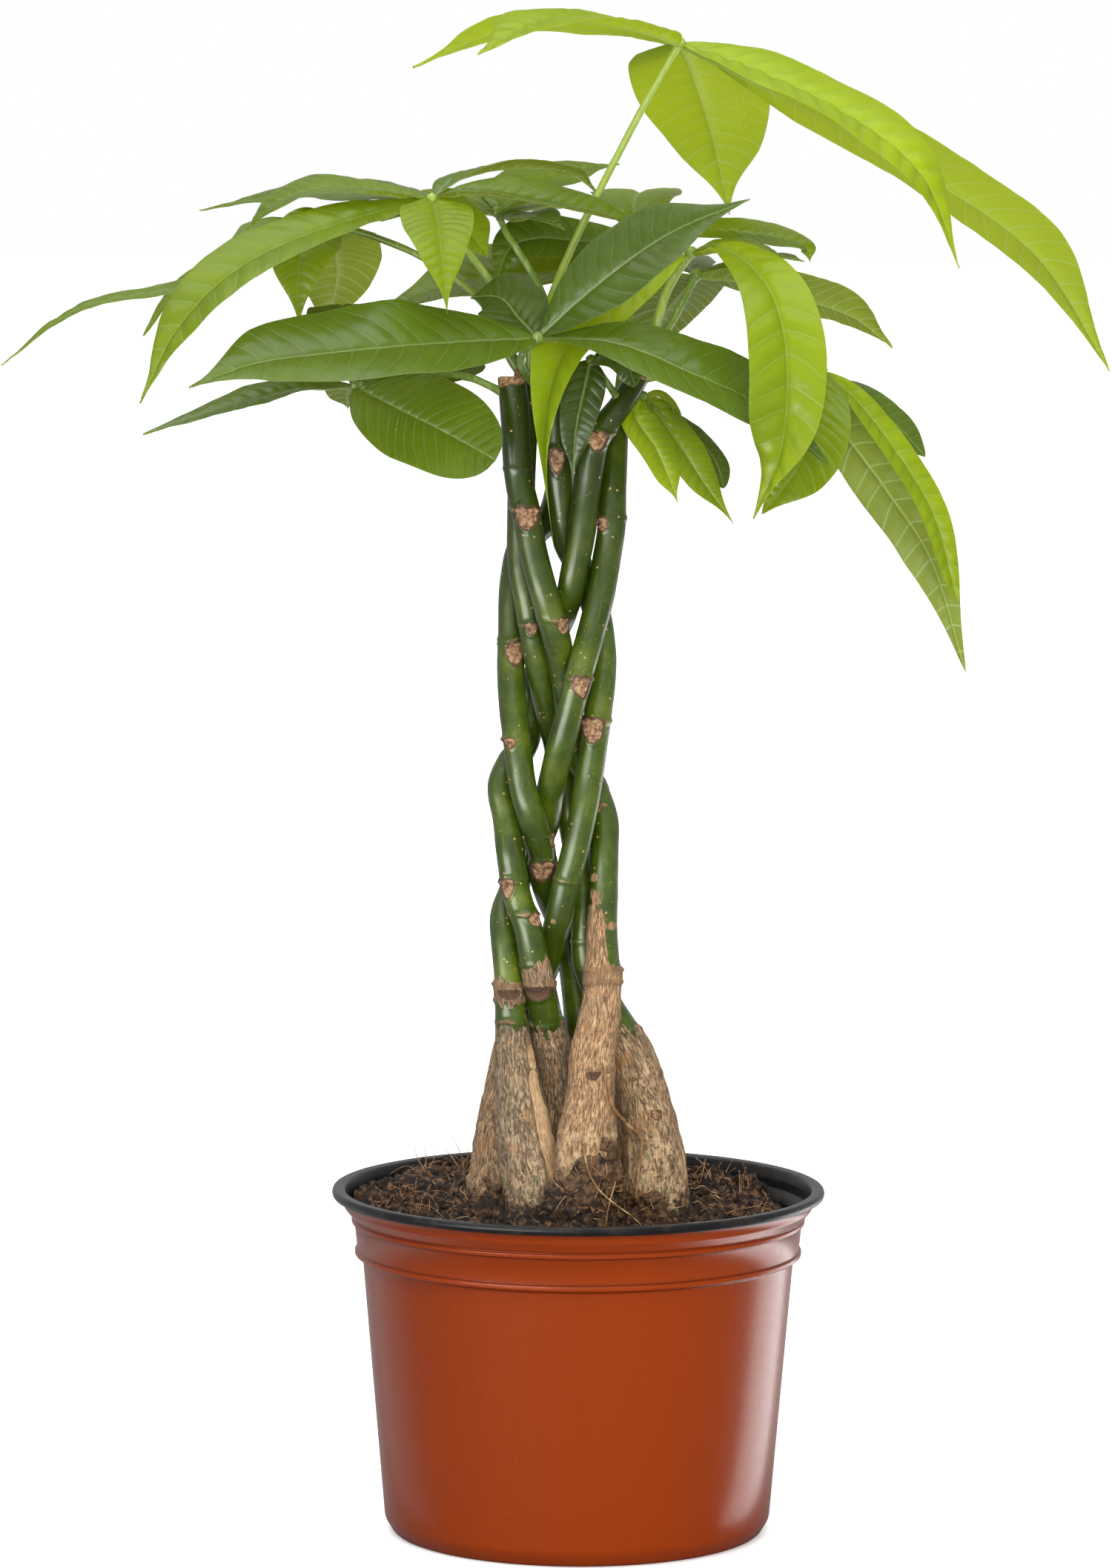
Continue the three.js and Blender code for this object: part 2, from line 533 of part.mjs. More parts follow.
// Height of the peat: heaped to the left, with lumps and clods.
function soilTop(x, y) {
  const heap = (-SOIL.heapLeft * x) / POT.collarRadius;
  const lumps = Math.sin(0.21 * x + 1.3) * Math.cos(0.17 * y + 0.4);
  const clods = Math.sin(0.37 * x - 0.29 * y) * Math.cos(0.31 * y + 2.1);
  return SOIL.meanTop + heap + SOIL.lump * (lumps + 0.6 * clods);
}

// A block that reaches past the pot's wall and whose underside is the top of the peat.
function airAbovePeat() {
  const rings = [];
  for (let i = 0; i <= SOIL.rings + 1; i += 1) {
    const radius = i === 0 ? SOIL.middleRadius : (POT.rimRadius * Math.min(i, SOIL.rings)) / SOIL.rings;
    const ring = [];
    for (let j = 0; j < POT.segments; j += 1) {
      const angle = (2 * Math.PI * j) / POT.segments;
      const x = radius * Math.cos(angle);
      const y = radius * Math.sin(angle);
      ring.push(new THREE.Vector3(x, y, i > SOIL.rings ? 2 * POT.height : soilTop(x, y)));
    }
    rings.push(ring);
  }
  return toSolid(skin(rings));
}

// The peat fills the pot from its floor to the lumpy top, a small gap inside the wall, and has
// a hole for each stem.
function soilSolid() {
  const inside = innerProfile().reverse();
  const filling = inside.map(([radius, height]) => [Math.max(radius - GAP, 0), height + GAP]);
  filling.push([0, filling[filling.length - 1][1]]);
  let solid = toSolid(lathe(filling)).subtract(airAbovePeat());
  for (const name of Object.keys(STEM_ROUTES)) {
    solid = solid.subtract(toSolid(stemRod(name, GAP)));
  }
  return solid;
}

// Assembly

function finish(colour, roughness) {
  return new THREE.MeshStandardMaterial({ color: colour, roughness, metalness: 0 });
}

function piece(name, geometry, material) {
  const mesh = new THREE.Mesh(geometry, material);
  mesh.name = name;
  return mesh;
}

const plant = new THREE.Group();
plant.name = 'potted_money_tree';
plant.add(piece('pot', toGeometry(toSolid(lathe(potProfile()))), finish(COLOUR.pot, 0.45)));
plant.add(piece('soil', toGeometry(soilSolid()), finish(COLOUR.soil, 0.95)));
for (const name of Object.keys(STEM_ROUTES)) {
  plant.add(piece(name, toGeometry(toSolid(stemRod(name))), finish(COLOUR.stem, 0.6)));
}
Object.entries(LEAVES).forEach(([name, leaf], index) => {
  plant.add(piece(name, toGeometry(leafSolid(leaf, index)), finish(COLOUR.leaf, 0.4)));
});

export default plant;
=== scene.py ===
"""A potted money tree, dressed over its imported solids.

Every new piece is a surface worked out with numpy from a formula in its docstring. Lengths in
the tables are millimetres; everything made from them is in metres, +Z up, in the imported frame.
"""

import math

import bpy
import numpy as np
from mathutils import Matrix, Vector


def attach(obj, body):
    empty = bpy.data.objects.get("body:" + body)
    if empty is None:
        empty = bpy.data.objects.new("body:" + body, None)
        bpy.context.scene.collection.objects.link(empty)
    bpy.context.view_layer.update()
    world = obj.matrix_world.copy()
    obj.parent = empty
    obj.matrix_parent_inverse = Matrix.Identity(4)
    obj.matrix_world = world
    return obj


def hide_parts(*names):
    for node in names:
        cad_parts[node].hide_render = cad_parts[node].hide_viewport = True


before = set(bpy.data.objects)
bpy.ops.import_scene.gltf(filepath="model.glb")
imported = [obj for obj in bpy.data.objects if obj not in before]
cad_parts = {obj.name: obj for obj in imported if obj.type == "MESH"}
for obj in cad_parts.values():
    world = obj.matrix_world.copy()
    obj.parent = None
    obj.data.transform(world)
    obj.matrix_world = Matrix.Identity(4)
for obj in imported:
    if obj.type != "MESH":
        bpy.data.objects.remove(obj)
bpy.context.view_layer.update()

bl_info = {
    "name": "Potted money tree",
    "version": (1, 0, 0),
    "blender": (4, 5, 0),
    "location": "3D View > Sidebar > Money tree",
    "description": "Dresses the packed money tree: its pot, peat, braided stems and leaves",
    "category": "Object",
}

MM = 0.001

# Stem routes from foot to tip, as x, y, z and radius in millimetres

STEM_ROUTES = {
    "stem_front": [
        (2.6, -27, 85.7, 9.5), (2.5, -27, 114.5, 10.6), (2.4, -26, 137.1, 10.1),
        (3.6, -23, 153, 8.8), (5, -19, 168.8, 7.6), (7.3, -14.6, 184.6, 6.8),
        (7.5, -12, 196.2, 6.3), (7.7, -9, 211.7, 5.3), (8.2, -7, 222.5, 5),
        (8.4, -5, 235.3, 4.9), (8.3, -2, 248, 4.8), (3.7, 1, 260.7, 4.7),
        (0.4, 0, 266.9, 4.7), (-2.2, -1, 273.9, 4.7), (-4.3, -4.5, 287.3, 4.7),
        (-6.1, -8, 300.6, 4.7), (-8.7, -13, 312.7, 4.8), (-12.5, -15, 326.5, 4.8),
        (-16.1, -13, 339.7, 4.8), (-18.4, -11, 352.4, 4.9), (-21.5, -8, 366.4, 4.8),
        (-22.8, -7, 386.8, 4.9), (-23.7, -6, 399.6, 4.9),
    ],
    "stem_middle": [
        (-7, 12.2, 82, 7.8), (-8, 12.2, 111.5, 8.4), (-7.4, 11.6, 131.1, 8.2),
        (-6.8, 7.6, 148.3, 7.4), (-8.6, 1, 165.8, 6.9), (-11.2, -5, 178, 6),
        (-12.8, -9.3, 187.9, 5.3), (-15.6, -12.6, 201.1, 5.1), (-17.9, -12.3, 212, 5),
        (-21.5, -10, 222.7, 4.9), (-23.7, -9, 236.7, 4.8), (-25, -5, 248.2, 4.8),
        (-27, -2, 258.9, 4.7), (-24, 2, 266.6, 4.7), (-20, 6, 270.9, 4.7),
        (-17.8, 12, 277.2, 4.7), (-17, 12, 287.5, 4.7), (-14, 9.6, 299.5, 4.7),
        (-9.7, 5, 310.4, 4.7), (-6.7, -1.2, 317, 4.7), (-3.9, -8.5, 325.5, 4.7),
        (-2.5, -11, 332.8, 4.8), (0, -11, 346.5, 4.8), (1.7, -10, 359.8, 4.8),
        (3.9, -9.5, 375.7, 4.9), (6.9, -9, 381.9, 4.6), (13.5, -8, 390.7, 4.1),
        (20.2, -4, 401.9, 4),
    ],
    "stem_back": [
        (10.8, 17.5, 82.9, 8.5), (10.9, 18, 111.6, 9.2), (7.4, 17.5, 143.5, 7.9),
        (2.6, 14.2, 164, 6.8), (-0.3, 12, 183.2, 5.4), (-2.6, 10.5, 197.6, 4.9),
        (-5, 8.5, 206.9, 4.8), (-8.1, 5.5, 215, 4.8), (-11.9, 0, 225.9, 4.8),
        (-13.2, -7, 238.3, 4.8), (-16.8, -12.5, 250.3, 4.8), (-19.9, -11.5, 261.9, 4.8),
        (-21.5, -9, 274.7, 4.8), (-23.1, -4, 287.2, 4.7), (-23.9, 1.5, 299.6, 4.7),
        (-23.7, 4.5, 311.1, 4.7), (-23.5, 6.5, 322.4, 4.7), (-22.8, 8.5, 331.2, 4.7),
        (-21, 10, 339.5, 4.7), (-15.7, 10, 345.7, 4.7), (-10.1, 8.5, 351.9, 4.7),
        (-7.4, 7.5, 363.2, 4.7), (-6.9, 7, 375.9, 4.7), (-6.9, 7.6, 386, 4.6),
    ],
    "stem_right": [
        (27, -2, 83.4, 9.5), (26.9, -2, 111.9, 11), (25.5, -2, 133.4, 10.4),
        (22.8, -2, 149.9, 9.2), (18.2, -2, 166.4, 7.8), (13.3, -1.5, 175.3, 6.8),
        (8.4, -1, 184.5, 5.9), (4.3, 0, 193.1, 5.2), (2.2, 0, 200.3, 4.9),
        (1.4, 0.5, 213.1, 4.8), (0.8, 1.5, 223.2, 4.7), (-0.7, 3.5, 234.3, 4.7),
        (-3.1, 6, 247.1, 4.7), (-5.7, 6, 260.1, 4.7), (-8, 7.6, 273, 4.7),
        (-11.4, 3, 286.5, 4.7), (-14.5, -1.5, 301.5, 4.7), (-16.3, -3.3, 311.8, 4.7),
        (-18.4, -3, 324.2, 4.7), (-20.2, -2, 332.8, 4.7), (-20.7, -1, 340.3, 4.7),
        (-20.5, 0, 350.9, 4.7), (-20.3, 2.5, 366, 4.7), (-19.1, 3, 386.2, 4.6),
        (-18.4, 4, 401.4, 4.6),
    ],
    "stem_left_back": [
        (-28, 9, 82.2, 9.5), (-28.1, 9, 111.4, 11), (-26.5, 8.8, 134.3, 10.1),
        (-24.5, 8.3, 150.5, 8.9), (-22.5, 8, 164.8, 7.6), (-19.2, 7, 176.3, 6.4),
        (-14.6, 3, 189, 5.2), (-10.8, -1.3, 199.1, 4.9), (-8.8, -6, 207.4, 4.8),
        (-6.8, -10.5, 215.7, 4.8), (-5.1, -12, 224.8, 4.8), (-2.1, -12.5, 236.1, 4.8),
        (0.7, -12, 249.1, 4.8), (2.9, -10, 261.9, 4.8), (4.6, -9, 274.8, 4.8),
        (6.4, -7, 287.6, 4.8), (7.6, -4, 300.3, 4.7), (7.3, -2.5, 308, 4.7),
        (6, -1, 317, 4.7), (3.7, 0, 324.3, 4.7), (0.6, 0.5, 332.7, 4.7),
        (-4.5, -1, 342.2, 4.7), (-6.1, -3, 351.2, 4.7), (-7.4, -3.5, 363.9, 4.7),
        (-8.4, -3, 376.5, 4.8), (-8.5, -2.5, 392.9, 4.7),
    ],
    "stem_left_front": [
        (-13.7, -11, 83.3, 9.5), (-14.3, -11.6, 111.8, 11), (-17.4, -11.6, 134.7, 10.3),
        (-20, -10, 150.9, 9), (-22.1, -10, 167.4, 6.8), (-23.2, -10, 178.7, 5.7),
        (-24.2, -9, 191.6, 4.9), (-25.6, -5.5, 206, 4.8), (-25.9, -1.5, 214.2, 4.8),
        (-23.4, 3.5, 221.3, 4.8), (-19.9, 6, 228.2, 4.8), (-15.8, 5, 236.9, 4.8),
        (-12.3, 1.5, 244.2, 4.8), (-11, -1.8, 250.5, 4.8), (-10.5, -5.5, 256, 4.8),
        (-9.5, -9, 261.7, 4.8), (-6.3, -14, 275.2, 4.8), (-3, -15.5, 288.3, 4.8),
        (0.2, -16.3, 301.3, 4.8), (3.4, -13, 312.7, 4.8), (6.7, -11, 326.2, 4.8),
        (8.9, -8, 339.4, 4.8), (10.4, -7, 349.5, 4.8), (10.6, -5, 359.5, 4.8),
        (11.1, 0, 371.3, 4.8), (11.3, 2.5, 378.8, 4.7), (11.6, 4, 386.3, 4.7),
    ],
}

# Leaf scars on the front of the stems, as x, z, half width and half height in millimetres. A fifth
# number marks a dark half-moon

STEM_SCARS = {
    "stem_front": [
        (-18.4, 352.5, 4.4, 4.2), (-5.9, 315.7, 2.6, 3.0), (-2.2, 272.2, 1.4, 1.2),
        (6.5, 252.4, 1.3, 1.9), (4.7, 163.5, 2.6, 2.0, 1),
    ],
    "stem_middle": [
        (5.2, 378.6, 3.8, 3.5), (-24.6, 225.3, 2.6, 4.0), (-14.4, 215.0, 3.6, 2.4),
        (-14.2, 190.6, 4.2, 3.6, 1),
    ],
    "stem_back": [
        (-22.4, 305.0, 3.4, 4.6), (-24.0, 275.1, 2.0, 2.0), (-12.9, 230.6, 4.3, 3.8),
        (-9.4, 241.6, 1.3, 2.5),
    ],
    "stem_right": [(-16.8, 313.8, 2.3, 2.6), (26.5, 146.8, 2.0, 1.6)],
    "stem_left_back": [(-8.2, 371.2, 2.7, 4.6), (4.1, 279.7, 4.4, 4.4)],
    "stem_left_front": [(7.1, 349.9, 2.2, 2.7), (0.2, 295.6, 3.4, 4.2), (-23.7, 189.4, 3.4, 2.4, 1)],
}

# Raised joints round the stems, as a height, how far they stand out and, where it isn't 0.8, how
# wide they are, in millimetres

STEM_RINGS = {
    "stem_front": [
        (368.4, 0.35), (318, 0.3), (197.2, 0.9), (192.8, 0.7), (195, 0.9, 3.6), (165.2, 0.3),
        (142, 0.5),
    ],
    "stem_middle": [
        (381, 0.4), (228, 0.45), (216.5, 0.4), (199.5, 0.4), (191.5, 0.5), (195, 0.35, 4.0),
        (178, 0.5), (171, 0.4),
    ],
    "stem_back": [(309, 0.4), (277, 0.3), (233.5, 0.5), (207, 0.4), (168, 0.4)],
    "stem_right": [(316, 0.4), (236, 0.3), (206, 0.35), (173.7, 0.6), (160, 0.3)],
    "stem_left_back": [(375, 0.4), (283, 0.45), (228, 0.4), (190, 0.4), (149, 0.4), (121, 0.8)],
    "stem_left_front": [
        (352, 0.4), (299, 0.4), (240, 0.3), (191.8, 0.7), (186.2, 0.6), (189, 0.7, 3.2),
        (179, 0.5), (161, 0.4),
    ],
}

# Peeled strips of smooth cork, from x, z to x, z with both half widths, in millimetres

STEM_PEELS = {
    "stem_middle": [(-9, 146, -9.5, 140, 0.6, 0.8)],
    "stem_right": [(35.5, 139, 37.5, 124, 0.4, 0.7)],
    "stem_left_back": [(-35, 119, -24, 118.6, 0.7, 1.0)],
    "stem_left_front": [(-16.6, 170, -15, 165, 1.0, 1.9), (-15.6, 161, -6.6, 124, 1.5, 3.4)],
}

# Cork of each stem: the height up to which it is corky instead of green, the height up to which
# it has pale flakes, both in millimetres, and how warm it is, from grey (0) to tan (1)

STEM_CORK = {
    "stem_front": (199, 146, 1.0),
    "stem_middle": (177, 118, 0.35),
    "stem_back": (168, 118, 0.45),
    "stem_right": (176, 141, 0.5),
    "stem_left_back": (184, 121, 0.7),
    "stem_left_front": (178, 134, 0.15),
}

# Cork patches on the green skin, as x, z, half width and half height in millimetres

STEM_PATCHES = {
    "stem_front": [(5.4, 222, 1.6, 2.6), (5.2, 228.6, 1.2, 1.4), (11, 212.4, 3.0, 1.1)],
    "stem_middle": [(-14.2, 195.5, 6.5, 6.0)],
    "stem_left_front": [(-24, 189, 6.0, 4.6)],
    "stem_left_back": [(-9, 214, 1.2, 1.0)],
}

# Thin roots that cling to the swollen feet, as points in millimetres and a radius

AIR_ROOTS = [
    ([(9.8, -29.6, 163.6), (11.6, -28.4, 152.3), (16.3, -20.6, 145.3), (21.5, -13.6, 138.4),
      (20.8, -13.2, 130.1), (19.8, -13.2, 118)], 0.75),
    ([(1.5, -37.5, 140), (3.6, -40.4, 131), (8, -41.5, 124.5), (14, -41, 119.5), (19, -39, 115.5),
      (23.5, -36, 110)], 0.36),
    ([(12.5, -38.5, 128), (10.5, -41, 121), (9.6, -40.6, 116), (9, -39, 110)], 0.28),
]

# Peat that clings to stems' feet, as stem, top and thickness in millimetres, and turn from the
# front in radians

CLODS = [
    ("stem_front", 138, 2.0, 0.3),
    ("stem_left_back", 123, 1.5, 0.2),
    ("stem_right", 118, 1.4, -0.6),
    ("stem_left_front", 113, 1.0, 0.6),
]

# Mounds of peat behind the stems, as x, y, height and width in millimetres

MOUNDS = [(-46, 46, 7.5, 26), (44, 48, 9, 25)]

# Tufts of dry fibres that stand up from the peat, as x, y and height in millimetres

SPRIGS = [
    (-41, 38, 15), (-53, 34, 9), (-62, 18, 8), (-30, 56, 9), (-68, -4, 6), (36, 44, 9),
    (46, 40, 9), (56, 28, 9), (63, 12, 7), (50, 52, 8),
]

# Leaves, in millimetres and degrees. A stalk runs from its stem to the hub, where the leaflets
# fan out, and has a radius at either end. A leaflet's row starts with the points that its midrib
# passes through after the hub. Then come its width, the tilt that leans its upper face towards
# the front, the fold that lifts its halves (or the fold at its base and at its tip), two powers
# that shape its base and its tip, and its tone, from old (0) to young (1).

LEAVES = {
    "leaf_top": {
        "stalk": [(-18, 4, 399), (-17, 4, 411), (-13, 7, 420), (-5, 10, 440), (5, 9, 461),
                  (21, 6, 492), (33, 4, 513)],
        "radius": (1.9, 1.3),
        "leaflets": [
            ([(16, -18, 518), (-12, -42, 520), (-35, -62, 509)], 34, 9, 8, 0.9, 0.8, 0.86),
            ([(9, 28, 517), (-25, 46, 518), (-59, 58, 504)], 30, -16, 5, 0.9, 1.1, 0.88),
            ([(39, 40, 500), (46, 66, 479), (52, 78, 453)], 48, -10, 6, 0.7, 1.1, 0.8),
            ([(61, -8, 503), (91, -18, 488), (114, -28, 469), (127, -30, 438)],
             31, 18, 10, 0.8, 1.1, 0.9),
            ([(74, 14, 492), (119, 30, 468), (158, 42, 440), (184, 48, 400)],
             38, -20, 8, 1, 0.9, 0.78),
        ],
    },
    "leaf_front": {
        "stalk": [(-8.5, -3, 389), (-16, -8, 397), (-20.5, -17, 404), (-19.5, -25, 409.5),
                  (-15, -30, 414)],
        "radius": (1.9, 1.5),
        "leaflets": [
            ([(-46, -46, 413), (-75, -58, 411), (-108, -70, 407), (-130, -76, 399)],
             44, 34, 8, 0.8, 1.1, 0.3),
            ([(-1, -34, 427), (15, -37, 440), (32, -38, 451), (56, -38, 461)],
             28, 50, 10, 1, 1, 0.14),
            ([(11, -41, 413), (37, -45, 403), (60, -44, 392), (83, -40, 372)],
             35, 30, 8, 1.1, 0.8, 0.28),
            ([(-21, -23, 420), (-28, -17, 427), (-38, -13, 427)], 26, 40, 8, 0.9, 0.9, 0.08),
        ],
    },
    "leaf_young": {
        "stalk": [(20, -4, 400), (26, -2, 420), (30, 0, 431), (37, -3, 442)],
        "radius": (2.2, 1.6),
        "leaflets": [
            ([(50, -24, 443), (63, -50, 430), (68, -62, 407), (66, -62, 378), (57, -56, 355)],
             27, 30, 14, 1.25, 0.9, 0.72),
            ([(19, -8, 433), (4, -14, 421), (-8, -21, 405), (-13, -23, 378), (-9, -21, 340)],
             32, 46, (8, 60), 1.4, 2.3, 0.8),
            ([(48, -4, 445), (62, -3, 443), (76, -4, 432)], 24, 4, 4, 0.9, 1.1, 0.5),
        ],
    },
    "leaf_right": {
        "stalk": [(17, -5.5, 395), (21, 3, 402), (26, 6, 410), (33, 7, 422), (39, 8, 434)],
        "radius": (1.9, 1.4),
        "leaflets": [
            ([(57, 12, 432), (76, 18, 426), (93, 20, 420), (107, 20, 409)],
             30, -26, 6, 0.9, 0.9, 0.5),
            ([(54, 19, 438), (66, 30, 440), (77, 39, 438)], 16, -5, 4, 0.9, 0.9, 0.4),
            ([(36, 22, 430), (28, 38, 419), (24, 44, 402)], 30, -20, 6, 0.8, 1, 0.35),
            ([(37, 36, 436), (34, 70, 437), (32, 100, 434)], 22, 0, 6, 1.2, 1.1, 0.3),
        ],
    },
    "leaf_back": {
        "stalk": [(11.5, 4, 383), (13.5, 12, 401), (16, 18, 418), (18, 27, 436), (19, 30, 446)],
        "radius": (1.9, 1.4),
        "leaflets": [
            ([(1, 28, 445), (-15, 24, 446), (-25, 22, 442), (-30, 20, 429)],
             20, 50, 10, 0.9, 1, 0.31),
            ([(37, 32, 449), (60, 33, 447), (76, 33, 444), (79, 32, 438)],
             26, 16, 6, 0.9, 1.2, 0.5),
            ([(18, 52, 457), (20, 84, 460), (22, 118, 459)], 32, 0, 6, 1.2, 1.1, 0.46),
            ([(-6, 36, 435), (-29, 40, 433), (-50, 42, 428), (-72, 42, 419)],
             40, 24, 8, 0.9, 1, 0.36),
        ],
    },
    "leaf_left_high": {
        "stalk": [(-18.6, 3.8, 397), (-26, 4, 409), (-30, 1, 429), (-42, -6, 446),
                  (-51, -12, 460)],
        "radius": (1.8, 1.4),
        "leaflets": [
            ([(-72, -16, 463), (-89, -18, 463), (-104, -20, 458), (-114, -20, 449)],
             30, 10, 8, 0.9, 0.9, 0.45),
            ([(-77, 10, 461), (-103, 24, 460), (-132, 34, 455)], 30, 14, 6, 0.9, 1.2, 0.35),
            ([(-49, -32, 454), (-47, -50, 443), (-45, -57, 423)], 25, 20, 8, 0.6, 1.2, 0.7),
            ([(-83, -38, 452), (-113, -52, 439), (-134, -60, 419), (-147, -62, 393)],
             26, 25, 10, 0.8, 1, 0.5),
            ([(-43, -3, 467), (-24, 8, 471), (-5, 15, 469), (5, 18, 462)], 24, -6, 6, 1.2, 1, 0.35),
            ([(-37, -18, 463), (-16, -20, 460), (3, -21, 456), (23, -20, 451)],
             26, 14, 16, 1.1, 0.9, 0.4),
            ([(-44, -4, 455), (-38, 2, 448), (-32, 5, 440)], 22, 45, 8, 0.7, 0.8, 0.72),
        ],
    },
    "leaf_middle_high": {
        "stalk": [(-7, 7.6, 383), (-9, 12, 408), (-13, 12, 426), (-22, 12, 442), (-26, 14, 448),
                  (-29, 18, 455)],
        "radius": (1.7, 1.3),
        "leaflets": [
            ([(-22, 32, 462), (-6, 42, 468), (13, 52, 471)], 30, 16, 6, 1, 1.1, 0.5),
            ([(-18, 46, 456), (-4, 66, 456), (2, 76, 454)], 22, 2, 6, 0.9, 1, 0.46),
            ([(-41, 18, 456), (-55, 17, 456), (-69, 15, 452)], 22, 6, 6, 0.9, 1, 0.31),
            ([(-37, 33, 459), (-47, 47, 461), (-58, 58, 460)], 26, 4, 6, 0.9, 1, 0.46),
            ([(-23, 14, 453), (-15, 4, 454), (-6, -6, 450)], 20, 14, 6, 0.9, 1, 0.31),
        ],
    },
    "leaf_left_far": {
        "stalk": [(-18.8, 3.6, 387), (-21, 13, 398), (-26, 16, 412), (-36, 14, 426),
                  (-52, 13, 438), (-67, 13, 445), (-83, 14, 450)],
        "radius": (1.7, 1.3),
        "leaflets": [
            ([(-91, 2, 448), (-96, -8, 439), (-96, -12, 418)], 23, 70, 10, 0.8, 0.9, 0.55),
            ([(-85, 32, 443), (-85, 48, 431), (-90, 56, 411)], 32, -20, 6, 0.6, 0.8, 0.45),
            ([(-110, 10, 440), (-137, 4, 429), (-171, 0, 422), (-198, -2, 403)],
             17, 10, 6, 1, 1, 0.4),
            ([(-99, 7, 451), (-110, -4, 450), (-121, -12, 444)], 14, 12, 6, 0.9, 0.9, 0.4),
            ([(-113, 22, 441), (-136, 24, 432), (-151, 22, 412)], 8, 12, 6, 0.9, 0.6, 0.4),
        ],
    },
    "leaf_left_low": {
        "stalk": [(-23.5, -6, 392), (-32, -7.5, 397), (-42, -8, 400), (-62, -10, 399),
                  (-77, -12, 397)],
        "radius": (1.7, 1.3),
        "leaflets": [
            ([(-65, -20, 391), (-48, -28, 383), (-29, -34, 373)], 35, 62, 4, 0.62, 0.42, 0.35),
            ([(-97, -16, 396), (-117, -22, 391), (-148, -30, 381)], 18, 16, 8, 0.9, 0.8, 0.25),
            ([(-80, 0, 394), (-80, 10, 388)], 16, -20, 6, 0.7, 0.9, 0.3),
            ([(-62, -4, 399), (-47, 0, 401), (-33, 4, 403)], 24, 30, 14, 0.8, 0.6, 0.2),
            ([(-78, 0, 409), (-81, 20, 419), (-83, 45, 422)], 28, 20, 6, 0.8, 0.6, 0.2),
        ],
    },
    "leaf_right_low": {
        "stalk": [(18.5, -5, 399), (28, -7, 400), (37, -8, 398), (59, -12, 399), (81, -15, 403)],
        "radius": (1.8, 1.4),
        "leaflets": [
            ([(92, -18, 394), (107, -18, 375), (120, -17, 353), (128, -15, 324)],
             11, 50, 14, 0.8, 0.6, 0.68),
            ([(86, -6, 387), (104, -2, 362), (120, 0, 337), (132, 2, 299)],
             22, -55, 6, 0.9, 0.8, 0.4),
            ([(93, 4, 395), (107, 10, 384), (118, 12, 372)], 18, 30, 6, 0.9, 0.7, 0.25),
            ([(79, -24, 388), (73, -30, 371), (61, -32, 355)], 27, 50, 6, 0.8, 0.8, 0.5),
        ],
    },
    "leaf_small": {
        "stalk": [(15.5, -6.5, 394), (19, -3, 393.5), (21, 0, 393)],
        "radius": (1.4, 1.1),
        "leaflets": [
            ([(18.6, -3, 386), (25.4, -5, 375.5), (30, -6, 365), (33, -6, 357)],
             13, 50, 8, 0.8, 1.1, 0.75),
            ([(26, 2, 387), (34.5, 0, 375), (43, -2, 362), (52, -3, 350)],
             14, 50, 10, 1, 1.1, 0.55),
            ([(30, 6, 386), (40, 8, 378), (46, 9, 370), (49, 9, 361)], 10, 30, 10, 1, 0.6, 0.15),
            ([(27, 3, 393.5), (32, 4, 388), (34.5, 4, 380)], 5, 20, 10, 0.9, 1, 0.6),
        ],
    },
    "leaf_hanging": {
        "stalk": [(13.5, -8, 390.7), (8, -13, 399), (3, -15, 406)],
        "radius": (1.5, 1.2),
        "leaflets": [
            ([(1, -17, 397), (-2, -19, 382), (-3, -18, 365)], 14.5, 70, 8, 0.6, 1, 0.0),
            ([(9, -18, 408), (15, -18, 405), (18, -16, 397)], 20, 30, 8, 0.7, 0.7, 0.2),
        ],
    },
}

# Numbers and curves


def smooth(value, low, high):
    """0 at low, 1 at high and 3k^2 - 2k^3 between, with k the share of the way, level beyond."""
    k = np.clip((value - low) / (high - low), 0, 1)
    return k * k * (3 - 2 * k)


def lattice(cell, seed):
    """One repeatable number from 0 to 1 for each whole-number cell: the fraction of a big sine."""
    wave = np.sin(cell @ np.array([127.1, 311.7, 74.7]) + 53.3 * seed) * 43758.5453
    return wave - np.floor(wave)


def value_noise(places, size, seed):
    """Noise from -1 to 1: lattice numbers at the corners of cells of that size, blended smoothly."""
    scaled = places / size
    cell = np.floor(scaled)
    k = scaled - cell
    k = k * k * (3 - 2 * k)
    total = 0
    for corner in np.ndindex(2, 2, 2):
        share = np.prod(np.where(corner, k, 1 - k), axis=-1)
        total = total + share * lattice(cell + corner, seed)
    return 2 * total - 1


def fractal(places, size, seed, octaves):
    """Sum of value noises, each at half the size and half the height of the one before."""
    return sum(value_noise(places, size / 2**k, seed + k) / 2**k for k in range(octaves))


def along(points, t):
    """Catmull-Rom curve through the points: its values and its direction in space at t, 0 to 1."""
    p = np.asarray(points, float)
    knots = np.vstack([2 * p[0] - p[1], p, 2 * p[-1] - p[-2]])
    last = len(p) - 1
    span = np.minimum((t * last).astype(int), last - 1)
    f = (t * last - span)[:, None]
    a, b, c, d = (knots[span + k] for k in range(4))
    k1 = c - a
    k2 = 2 * a - 5 * b + 4 * c - d
    k3 = 3 * b - a - 3 * c + d
    values = 0.5 * (2 * b + k1 * f + k2 * f**2 + k3 * f**3)
    heading = (k1 + 2 * k2 * f + 3 * k3 * f**2)[:, :3]
    return values, unit(heading)


def circle(steps):
    """Angles of that many equal steps round a circle."""
    return 2 * np.pi * np.arange(steps) / steps


def unit(vectors):
    """The vectors at length 1."""
    return vectors / np.linalg.norm(vectors, axis=-1, keepdims=True)


def run_length(places):
    """Distance walked along a row of points, from 0 at the first."""
    steps = np.linalg.norm(np.diff(places, axis=0), axis=1)
    return np.concatenate([[0], np.cumsum(steps)])


